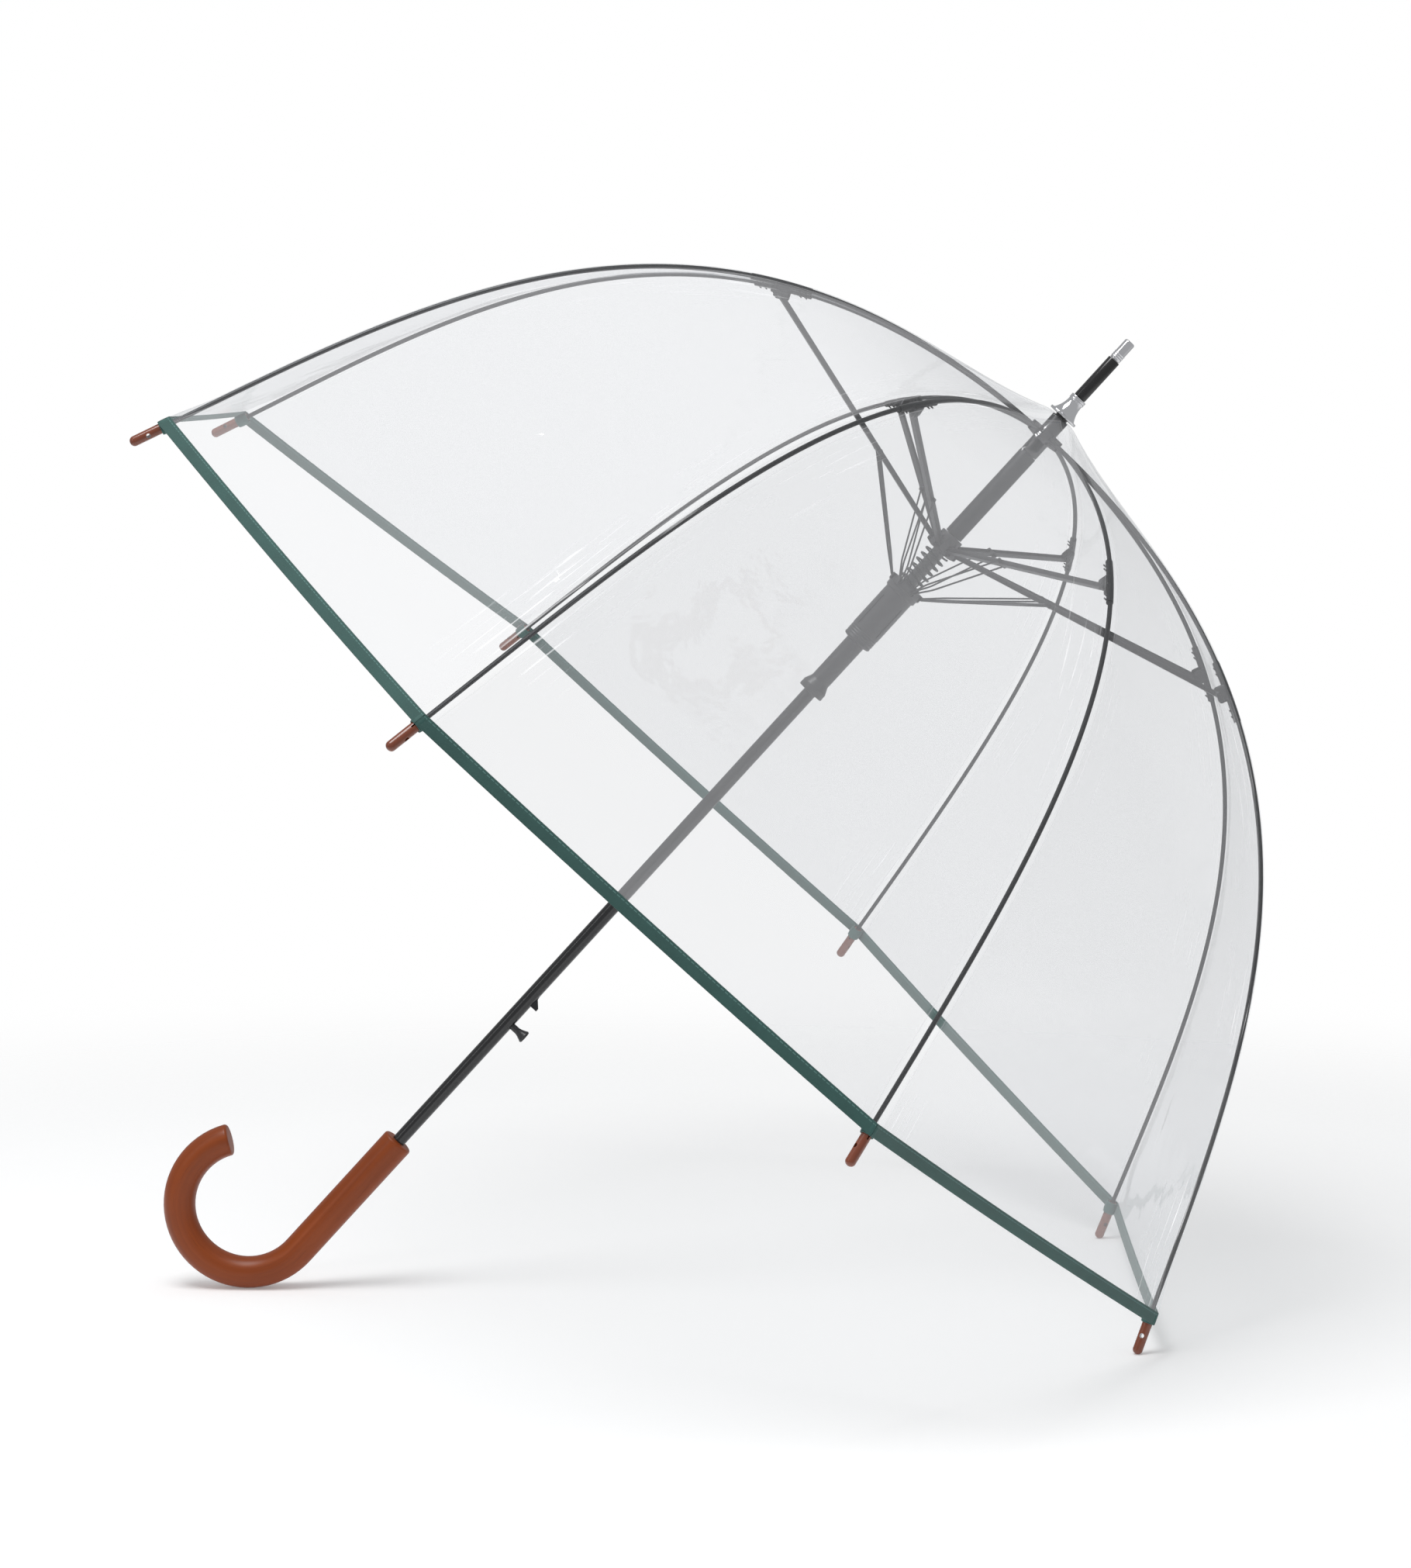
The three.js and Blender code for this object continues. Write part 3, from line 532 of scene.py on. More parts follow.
class Graph:
    """Adds and joins the nodes of one material."""

    def __init__(self, name: str) -> None:
        """Starts an empty material.

        Args:
            name: The material's name.
        """
        self.material = bpy.data.materials.new(name)
        self.material.use_nodes = True
        self.tree = self.material.node_tree
        self.tree.nodes.clear()
        self.output = self.tree.nodes.new("ShaderNodeOutputMaterial")

    def add(self, kind: str, inputs: dict | None = None, **settings: object) -> bpy.types.Node:
        """Adds a node.

        Args:
            kind: The node's type, without ShaderNode.
            inputs: Socket names or numbers, each with a value or with the socket that feeds it.
            **settings: The node's own settings.

        Returns:
            The node.
        """
        node = self.tree.nodes.new(f"ShaderNode{kind}")
        for key, value in settings.items():
            setattr(node, key, value)
        for key, value in (inputs or {}).items():
            if isinstance(value, bpy.types.NodeSocket):
                self.tree.links.new(value, node.inputs[key])
            else:
                node.inputs[key].default_value = value
        return node

    def math(self, operation: str, *values: object) -> bpy.types.NodeSocket:
        """Works out a number from sockets or numbers."""
        return self.add("Math", dict(enumerate(values)), operation=operation).outputs[0]

    def mixed(self, share: object, first: object, second: object) -> bpy.types.NodeSocket:
        """Mixes two colours by a share."""
        return self.add("Mix", {0: share, 6: first, 7: second}, data_type="RGBA").outputs[2]

    def noise(
        self, place: bpy.types.NodeSocket, scale: float, detail: float, distortion: float = 0.0
    ) -> bpy.types.NodeSocket:
        """Spreads a cloudy pattern from 0 to 1 over a set of coordinates."""
        inputs = {"Vector": place, "Scale": scale, "Detail": detail, "Distortion": distortion}
        return self.add("TexNoise", inputs).outputs["Fac"]

    def ramp(self, value: object, low: float, high: float) -> bpy.types.NodeSocket:
        """Goes from 0 to 1 as a value goes from one bound to the other."""
        return self.add("MapRange", {"Value": value, "From Min": low, "From Max": high}).outputs["Result"]

    def bumped(self, height: object, strength: float, depth: float) -> bpy.types.NodeSocket:
        """Turns a height into a normal, for a relief of a depth in metres."""
        return self.add("Bump", {"Height": height, "Strength": strength, "Distance": depth}).outputs["Normal"]

    def both_sides(self, color: tuple[float, ...]) -> bpy.types.NodeSocket:
        """Shades a thin layer that sends light back and lets it through alike.

        Args:
            color: Its colour, with an alpha.

        Returns:
            The shader.
        """
        back = self.add("BsdfDiffuse", {"Color": color}).outputs[0]
        through = self.add("BsdfTranslucent", {"Color": color}).outputs[0]
        return self.add("AddShader", {0: back, 1: through}).outputs[0]

    def finish(self, shader: bpy.types.NodeSocket) -> bpy.types.Material:
        """Shows a shader and returns the material."""
        self.tree.links.new(shader, self.output.inputs["Surface"])
        return self.material


@dataclass(frozen=True)
class Enamel:
    """Paint, lacquer or moulded plastic: one colour with slight unevenness and a coat."""

    name: str
    color: tuple[float, float, float]
    roughness: float
    metallic: float = 0.0
    coat: float = 0.0
    coat_roughness: float = 0.08
    mottle: float = 0.12
    mottle_scale: float = 60.0
    smoother: float = 0.85
    rougher: float = 1.2
    grain: float = 900.0
    bump: float = 0.05
    bump_depth: float = 0.2 * MM

    def make(self) -> bpy.types.Material:
        """Builds the material."""
        graph = Graph(self.name)
        place = graph.add("TexCoord").outputs["Object"]
        cloud = graph.noise(place, self.mottle_scale, 4.0)
        fine = graph.noise(place, self.grain, 2.0)
        dark = tuple(channel * (1 - self.mottle) for channel in self.color)
        light = tuple(min(channel * (1 + self.mottle), 1.0) for channel in self.color)
        low, high = self.roughness * self.smoother, min(self.roughness * self.rougher, 1.0)
        rough = graph.add("MapRange", {"Value": cloud, "To Min": low, "To Max": high})
        shader = graph.add(
            "BsdfPrincipled",
            {
                "Base Color": graph.mixed(cloud, (*dark, 1), (*light, 1)),
                "Roughness": rough.outputs["Result"],
                "Metallic": self.metallic,
                "Coat Weight": self.coat,
                "Coat Roughness": self.coat_roughness,
                "Normal": graph.bumped(fine, self.bump, self.bump_depth),
            },
        )
        return graph.finish(shader.outputs["BSDF"])


@dataclass(frozen=True)
class Film:
    """Clear film: a faint milky veil, a welded strip along each rib, sharp highlights on slight waves, and
    painted highlight streaks along the ribs.
    """

    name: str = "clear_film"
    tint: tuple[float, float, float] = (0.97, 0.975, 0.98)
    veil: float = 0.23
    veil_color: tuple[float, float, float] = (0.50, 0.50, 0.51)
    over_rod: float = 4.0 * MM
    clear_end: float = 9.0 * MM
    rod_veil: float = 0.04
    strip: float = 6.5 * MM
    strip_edge: float = 0.4 * MM
    edge_veil: float = 0.16
    wave_scale: float = 7.0
    wave_twist: float = 0.8
    crease_scale: float = 30.0
    crease_sharpness: float = 3.0
    crease_share: float = 0.25
    bump: float = 0.5
    bump_depth: float = 6 * MM
    gloss: float = 0.03
    shine: float = 0.055
    grazing_shine: float = 0.28
    grazing_power: float = 5.0
    # Painted highlights: the streak fields set white streaks along the ribs, mixed into the film's colour,
    # that stand in for reflected light.
    painted_highlight_color: tuple[float, float, float] = (0.9, 0.9, 0.9)
    painted_highlight_stretch: tuple[float, float, float] = (13, 420, 1)
    painted_highlight_levels: Point = (0.60, 0.72)
    painted_highlight_patch_scale: float = 10.0
    painted_highlight_patch_levels: Point = (0.50, 0.64)
    painted_highlight_reach: float = 46 * MM
    painted_highlight_share: float = 0.8

    def make(self) -> bpy.types.Material:
        """Builds the material from the film's own UV: along the rib, and away from it."""
        graph = Graph(self.name)
        coords = graph.add("TexCoord")
        across = graph.add("SeparateXYZ", {0: coords.outputs["UV"]}).outputs["Y"]
        place = coords.outputs["Object"]
        wave = graph.noise(place, self.wave_scale, 2.0, self.wave_twist)
        crease = graph.math("POWER", graph.noise(place, self.crease_scale, 3.0), self.crease_sharpness)
        height = graph.math("MULTIPLY_ADD", crease, self.crease_share, wave)
        normal = graph.bumped(height, self.bump, self.bump_depth)
        milk = graph.both_sides((*self.veil_color, 1))
        clear = graph.add("BsdfTransparent", {"Color": (*self.tint, 1)}).outputs[0]
        body = graph.add("MixShader", {0: self.veiled(graph, across), 1: clear, 2: milk}).outputs[0]
        shine = graph.add("BsdfGlossy", {"Color": (1, 1, 1, 1), "Roughness": self.gloss, "Normal": normal})
        facing = graph.add("LayerWeight", {"Blend": 0.5, "Normal": normal}).outputs["Facing"]
        grazing = graph.math("POWER", facing, self.grazing_power)
        share = graph.math("MULTIPLY_ADD", grazing, self.grazing_shine, self.shine)
        clean = graph.add("MixShader", {0: share, 1: body, 2: shine.outputs[0]}).outputs[0]
        # Painted highlight: a white layer mixed in as streaks near the ribs stands in for reflections of the
        # lights.
        painted_white = graph.both_sides((*self.painted_highlight_color, 1))
        painted_highlight = self.painted_highlights(graph, coords, across)
        return graph.finish(graph.add("MixShader", {0: painted_highlight, 1: clean, 2: painted_white}).outputs[0])

    def veiled(self, graph: Graph, across: bpy.types.NodeSocket) -> bpy.types.NodeSocket:
        """Works out how milky the film is: little over the rod, and more on the edge of the weld.

        Args:
            graph: The film's graph.
            across: The distance from the rib.

        Returns:
            The share of the veil.
        """
        off_rod = graph.ramp(across, self.over_rod, self.clear_end)
        on_edge = graph.math("COMPARE", across, self.strip, self.strip_edge)
        plain = graph.math("MULTIPLY_ADD", off_rod, self.veil - self.rod_veil, self.rod_veil)
        return graph.math("MULTIPLY_ADD", on_edge, self.edge_veil, plain)

    def painted_highlights(
        self, graph: Graph, coords: bpy.types.Node, across: bpy.types.NodeSocket
    ) -> bpy.types.NodeSocket:
        """Paints fine white highlight streaks on the film, standing in for reflections, that run along the
        ribs and die out away from them.

        Args:
            graph: The film's graph.
            coords: Its texture coordinates.
            across: The distance from the rib.

        Returns:
            The share of the painted highlight white that shows.
        """
        fine = graph.add("Mapping", {"Vector": coords.outputs["UV"], "Scale": self.painted_highlight_stretch}).outputs[0]
        steps = (
            (graph.noise(fine, 1.0, 3.0, 0.5), *self.painted_highlight_levels),
            (graph.noise(coords.outputs["Object"], self.painted_highlight_patch_scale, 1.0), *self.painted_highlight_patch_levels),
            (across, self.painted_highlight_reach, self.over_rod),
        )
        share = self.painted_highlight_share
        for value, low, high in steps:
            share = graph.math("MULTIPLY", graph.ramp(value, low, high), share)
        return share


@dataclass(frozen=True)
class Tape:
    """Woven tape with a row of lighter stitches near its inner edge."""

    name: str = "green_tape"
    color: tuple[float, float, float] = (0.030, 0.100, 0.088)
    darker: float = 0.8
    lighter: float = 1.25
    fade_scale: float = 45.0
    stitch_color: tuple[float, float, float] = (0.10, 0.23, 0.21)
    stitch_from_edge: float = 1.7 * MM
    stitch_width: float = 0.32 * MM
    stitch_length: float = 3.2 * MM
    stitch_gap: float = 0.14
    stitch_height: float = 2.5
    thread: float = 0.45 * MM
    bump: float = 0.5
    bump_depth: float = 0.2 * MM
    roughness: float = 0.72
    sheen: float = 0.35
    sheen_roughness: float = 0.4

    def make(self) -> bpy.types.Material:
        """Builds the material from the tape's own UV: along the rim, and across the tape."""
        graph = Graph(self.name)
        coords = graph.add("TexCoord")
        uv = graph.add("SeparateXYZ", {0: coords.outputs["UV"]})
        along, across = uv.outputs["X"], uv.outputs["Y"]
        warp = graph.math("SINE", graph.math("MULTIPLY", across, FULL_TURN / self.thread))
        weft = graph.math("SINE", graph.math("MULTIPLY", along, FULL_TURN / self.thread))
        weave = graph.math("MULTIPLY", warp, weft)
        dash = graph.math("PINGPONG", along, self.stitch_length / 2)
        on_dash = graph.math("GREATER_THAN", dash, self.stitch_length * self.stitch_gap)
        on_line = graph.math("COMPARE", across, self.stitch_from_edge, self.stitch_width)
        stitch = graph.math("MULTIPLY", on_dash, on_line)
        cloud = graph.noise(coords.outputs["Object"], self.fade_scale, 5.0)
        dark = tuple(channel * self.darker for channel in self.color)
        light = tuple(channel * self.lighter for channel in self.color)
        cloth = graph.mixed(cloud, (*dark, 1), (*light, 1))
        height = graph.math("MULTIPLY_ADD", stitch, self.stitch_height, weave)
        shader = graph.add(
            "BsdfPrincipled",
            {
                "Base Color": graph.mixed(stitch, cloth, (*self.stitch_color, 1)),
                "Roughness": self.roughness,
                "Sheen Weight": self.sheen,
                "Sheen Roughness": self.sheen_roughness,
                "Normal": graph.bumped(height, self.bump, self.bump_depth),
            },
        )
        return graph.finish(shader.outputs["BSDF"])


@dataclass(frozen=True)
class Wood:
    """Stained wood under a satin lacquer, with its grain along the piece."""

    name: str = "brown_wood"
    dark: tuple[float, float, float] = (0.13, 0.022, 0.003)
    light: tuple[float, float, float] = (0.35, 0.068, 0.007)
    along: float = 9.0
    across: float = 260.0
    grain_twist: float = 0.6
    grain_share: float = 0.55
    cloud_share: float = 0.45
    cloud_scale: float = 14.0
    pore_level: float = 0.66
    pore_share: float = 0.35
    bump: float = 0.08
    bump_depth: float = 0.3 * MM
    roughness: float = 0.42
    specular: float = 0.3
    coat: float = 0.12
    coat_roughness: float = 0.25

    def make(self) -> bpy.types.Material:
        """Builds the material from the handle's own UV: along it, and round it."""
        graph = Graph(self.name)
        coords = graph.add("TexCoord")
        scale = (self.along, self.across, 1)
        stretched = graph.add("Mapping", {"Vector": coords.outputs["UV"], "Scale": scale}).outputs[0]
        grain = graph.noise(stretched, 1.0, 6.0, self.grain_twist)
        pore = graph.noise(stretched, 4.0, 2.0)
        cloud = graph.noise(coords.outputs["Object"], self.cloud_scale, 3.0)
        stain = graph.math("MULTIPLY", cloud, self.cloud_share)
        share = graph.math("MULTIPLY_ADD", grain, self.grain_share, stain)
        color = graph.mixed(share, (*self.dark, 1), (*self.light, 1))
        pores = graph.math("MULTIPLY", graph.math("GREATER_THAN", pore, self.pore_level), self.pore_share)
        shader = graph.add(
            "BsdfPrincipled",
            {
                "Base Color": graph.mixed(pores, color, (*self.dark, 1)),
                "Roughness": self.roughness,
                "Specular IOR Level": self.specular,
                "Coat Weight": self.coat,
                "Coat Roughness": self.coat_roughness,
                "Normal": graph.bumped(grain, self.bump, self.bump_depth),
            },
        )
        return graph.finish(shader.outputs["BSDF"])


FINISHES = {
    Slot.FILM: Film(),
    Slot.TAPE: Tape(),
    Slot.WOOD: Wood(),
    Slot.NYLON: Enamel("brown_plastic", (0.20, 0.045, 0.016), 0.26, coat=0.5, mottle=0.2),
    Slot.SHAFT: Enamel("black_steel", (0.012, 0.012, 0.013), 0.24, metallic=0.3, coat=0.6),
    Slot.FRAME: Enamel("frame_steel", (0.035, 0.036, 0.038), 0.34, metallic=0.8),
    Slot.CHROME: Enamel("chrome", (0.80, 0.80, 0.82), 0.09, metallic=1.0, mottle=0.03, bump=0.02),
    Slot.BLACK: Enamel("black_plastic", (0.022, 0.022, 0.024), 0.38, coat=0.15),
}


# The sub-assemblies.


@dataclass(frozen=True)
class Kit:
    """What every sub-assembly is fitted with: the stand, the rib's line and the finishes."""

    stand: Stand
    rib: RibLine
    finishes: dict[Slot, bpy.types.Material]

    def dress(self, piece: bpy.types.Object, name: str, slot: Slot, degrees: float = 35) -> None:
        """Names a piece, shades it and gives it its finish.

        Args:
            piece: The piece.
            name: Its name.
            slot: Its finish.
            degrees: The sharpest angle that is shaded smooth.
        """
        piece.name = piece.data.name = name
        Bench.smooth(piece, degrees)
        piece.data.materials.clear()
        piece.data.materials.append(self.finishes[slot])

    def fit(
        self,
        piece: bpy.types.Object,
        name: str,
        body: str,
        slot: Slot,
        matrix: Matrix | None = None,
        nodes: Sequence[str] = (),
    ) -> bpy.types.Object:
        """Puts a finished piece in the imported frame.

        Args:
            piece: The piece, as drawn upright.
            name: Its name.
            body: The body it rides on.
            slot: Its finish.
            matrix: Where it goes, or None for the stand itself.
            nodes: The CAD nodes it stands for, or none for the node of its own name.

        Returns:
            The piece.
        """
        piece.data.transform(matrix or self.stand.matrix)
        self.dress(piece, name, slot)
        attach(piece, body)
        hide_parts(*(nodes or [name]))
        LOG.info("%s rides on %s", name, body)
        return piece


@dataclass(frozen=True)
class Canopy:
    """The film, in a piece for each side and level of each rib, and the tape that binds its rim."""

    kit: Kit
    over_rod: float = 2.1 * MM
    over_nib: float = 4.3 * MM
    rise_length: float = 34 * MM
    hole_inset: float = 2.6 * MM
    crown_height: float = 9.9 * MM
    drape_share: float = 0.25
    droop: float = 1.5 * MM
    tape_width: float = 8.5 * MM
    tape_thickness: float = 1.0 * MM
    tape_overhang: float = 8.2 * MM
    pucker: float = 0.15 * MM
    wrap_inset: float = 0.85 * MM
    wrap_stand: float = 0.35 * MM
    wrap_edge: float = 0.3 * MM
    sag: float = 3.0 * MM
    ripple: float = 0.35 * MM
    grain: float = 6 * MM
    keep: float = 0.05

    @property
    def levels(self) -> dict[Level, tuple[float, float]]:
        """Where each level starts and ends along the rib."""
        rib = self.kit.rib
        bend = rib.distance_at(self.kit.stand.pivot("rib_bend_1"))
        middle = (bend + rib.length) / 2
        end = rib.length + self.tape_overhang - self.tape_width / 2
        return {
            Level.CROWN: (-self.hole_inset, bend),
            Level.SHOULDER: (bend, middle),
            Level.SKIRT: (middle, end),
        }

    def line(self, distance: float, offset: float) -> Vector:
        """Follows the film over a rib, draped from the cap and then along the rod.

        Args:
            distance: How far along the rib.
            offset: How far off the rod's middle.

        Returns:
            The point, in the rib's plane.
        """
        rib = self.kit.rib
        drape = self.crown_height - rib.pivot_height - offset
        share = max(1 - max(distance, 0) / (rib.length * self.drape_share), 0) ** 4
        return rib.beside(distance, offset) + flat(0, drape * share)

    def offset(self, distance: float) -> float:
        """How far the film stands off the rod's middle."""
        share = min(max((distance - self.kit.rib.length) / self.rise_length + 1, 0), 1)
        return self.over_rod + (self.over_nib - self.over_rod) * share * share * (3 - 2 * share)

    def surface(self, number: int, side: Side, distance: float, share: float) -> Vector:
        """A point of the film in its rib's plane's frame.

        Args:
            number: The rib.
            side: Which way from the rib.
            distance: How far along the rib.
            share: From 0 at the rib to 1 at the middle of the gore.

        Returns:
            The point.
        """
        rib = self.kit.rib
        point = self.line(distance, self.offset(distance))
        half = GORE / 2
        swell = math.sin(math.pi * min(max(distance / rib.length, 0), 1))
        inward = self.sag * swell * share * (2 - share)
        gore = number if side is Side.RIGHT else (number - 2) % RIBS + 1
        slow = math.sin(distance * 95 + gore * 1.7) * math.cos(distance * 41 + gore * 2.9)
        inward += self.ripple * slow * swell * math.sin(math.pi * share / 2) ** 2
        radius = point.x * (1 - share * math.sin(half) ** 2) - inward * math.cos(half) * 0.8
        across = side.value * (share * point.x * math.cos(half) - inward * 0.8) * math.sin(half)
        return Vector((radius, across, point.z - inward * 0.6))

    def fold_axis(self, level: Level, side: Side) -> tuple[Vector, Vector]:
        """The direction that half a gore flattens in as the dome closes, and a point that stays.

        Args:
            level: The film's level on the rib.
            side: Which way from the rib.

        Returns:
            The axis and the anchor, in the rib's plane's frame.
        """
        start, end = self.levels[level]
        low = self.line(start, self.offset(start))
        chord = (self.line(end, self.offset(end)) - low).normalized()
        half = GORE / 2
        across = Vector((-math.sin(half), side.value * math.cos(half), 0))
        return (across - chord * across.dot(chord)).normalized(), low

    def fold(self, piece: bpy.types.Object, number: int, level: Level, side: Side) -> None:
        """Gives half a gore a mesh of its own; its fold axis is worked out but not used.

        Args:
            piece: The film or tape.
            number: Its rib.
            level: Its level on the rib.
            side: Which way from the rib.
        """
        matrix = self.kit.stand.rib_matrix(number)
        axis, anchor = self.fold_axis(level, side)
        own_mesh(piece)

    def film(self, number: int, side: Side, level: Level) -> bpy.types.Object:
        """Makes one piece of film.

        Args:
            number: Its rib.
            side: Which way from the rib.
            level: Its level on the rib.

        Returns:
            The piece.
        """
        kit = self.kit
        start, end = self.levels[level]

        def reach(share: float) -> float:
            """The length of the level at a share of the half gore, a little more where the rim droops."""
            fall = self.droop * share * (2 - share) if level is Level.SKIRT else 0
            return end + fall - start

        def place(along: float, share: float) -> Vector:
            """The grid's point."""
            return self.surface(number, side, start + along * reach(share), share)

        def measure(along: float, share: float) -> Point:
            """The film's own measure there: along the rib, and away from it."""
            distance = start + along * reach(share)
            return distance, share * self.line(distance, 0).x * math.sin(GORE / 2)

        piece = Bench.woven(round((end - start) / self.grain), 14, place, measure)
        piece.data.transform(kit.stand.rib_matrix(number))
        kit.dress(piece, f"film_{level.value}_{number}_{side.name.lower()}", Slot.FILM, 180)
        if side is Side.LEFT:
            piece.data.flip_normals()
        body = f"rib_upper_{number}" if level is Level.CROWN else f"rib_lower_{number}"
        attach(piece, body)
        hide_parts("canopy")
        self.fold(piece, number, level, side)
        self.declare(start, end)
        return piece

    def declare(self, start: float, end: float) -> None:
        """Works out how wide the flat cut of a piece of film is; the width is not used.

        Args:
            start: Where it starts along the rib; not used.
            end: Where it ends.
        """
        width = self.line(end, 0).x * math.sin(GORE / 2)

    def binding(self, number: int, side: Side) -> bpy.types.Object:
        """Makes the tape from a rib to the middle of the gore beside it.

        Args:
            number: The rib.
            side: Which way from the rib.

        Returns:
            The tape.
        """
        kit = self.kit
        rib = kit.rib

        def profile(around: float) -> Point:
            """Draws the folded tape's section.

            Args:
                around: The share of the way round it.

            Returns:
                How far along the film, and how far away from it.
            """
            angle = around * FULL_TURN
            wide, thick = squared(math.cos(angle), 0.45), squared(math.sin(angle), 0.6)
            return wide * self.tape_width / 2, thick * self.tape_thickness / 2

        def place(share: float, around: float) -> Vector:
            """Lays the grid's point.

            Args:
                share: From the rib to the middle of the gore.
                around: The share of the way round the section.

            Returns:
                The point, in the rib's plane's frame.
            """
            wide, thick = profile(around)
            fall = self.droop * share * (2 - share)
            distance = rib.length + self.tape_overhang - self.tape_width / 2 + fall
            pucker = self.pucker * math.sin(share * 90 + number * 2) * math.sin(math.pi * share) ** 2
            middle = self.surface(number, side, distance + wide, share)
            inner = self.surface(number, side, distance + wide - MM, share)
            ahead = (middle - inner).normalized()
            half = GORE / 2
            across = Vector((-math.sin(half), side.value * math.cos(half), 0))
            out = ahead.cross(across) * -side.value
            return middle + out.normalized() * (thick + pucker)

        def measure(share: float, around: float) -> Point:
            """Along the rim, and across the tape from its inner edge."""
            along = share * rib.at(rib.length)[0].x * math.sin(GORE / 2)
            return along, profile(around)[0] + self.tape_width / 2

        piece = Bench.woven(28, 20, place, measure)
        Bench.seamed(piece)
        kit.fit(
            piece,
            f"tape_{number}_{side.name.lower()}",
            f"rib_lower_{number}",
            Slot.TAPE,
            kit.stand.rib_matrix(number),
            ["rim_binding"],
        )
        self.fold(piece, number, Level.SKIRT, side)
        return piece

    def wrap(self, number: int) -> None:
        """Makes the turn of tape that ties the rim to a nib.

        Args:
            number: The nib's rib.
        """
        kit = self.kit
        half = self.tape_width / 2
        inner, outer = self.over_nib - self.wrap_inset, self.over_nib + self.wrap_stand
        edge = outer - self.wrap_edge
        corners = [(inner, -half), (edge, -half), (outer, -half * 0.4), (outer, half * 0.4)]
        corners += [(edge, half), (inner, half), (inner, -half)]
        piece = Bench.turned(rounded(corners, self.wrap_edge), 32)
        end, tangent = kit.rib.at(kit.rib.length)
        place = Matrix.Translation(end + tangent * (self.tape_overhang - half)) @ turn_to(tangent)
        piece.data.transform(place @ Matrix.Rotation(math.pi / 2, 4, "Y"))
        matrix = kit.stand.rib_matrix(number)
        kit.fit(piece, f"tape_wrap_{number}", f"rib_lower_{number}", Slot.TAPE, matrix, ["rim_binding"])

    def build(self) -> None:
        """Makes the film and the tape of all eight ribs."""
        for number in range(1, RIBS + 1):
            self.wrap(number)
            for side in Side:
                for level in Level:
                    self.film(number, side, level)
                self.binding(number, side)
            LOG.info("film and tape hang from rib %d", number)


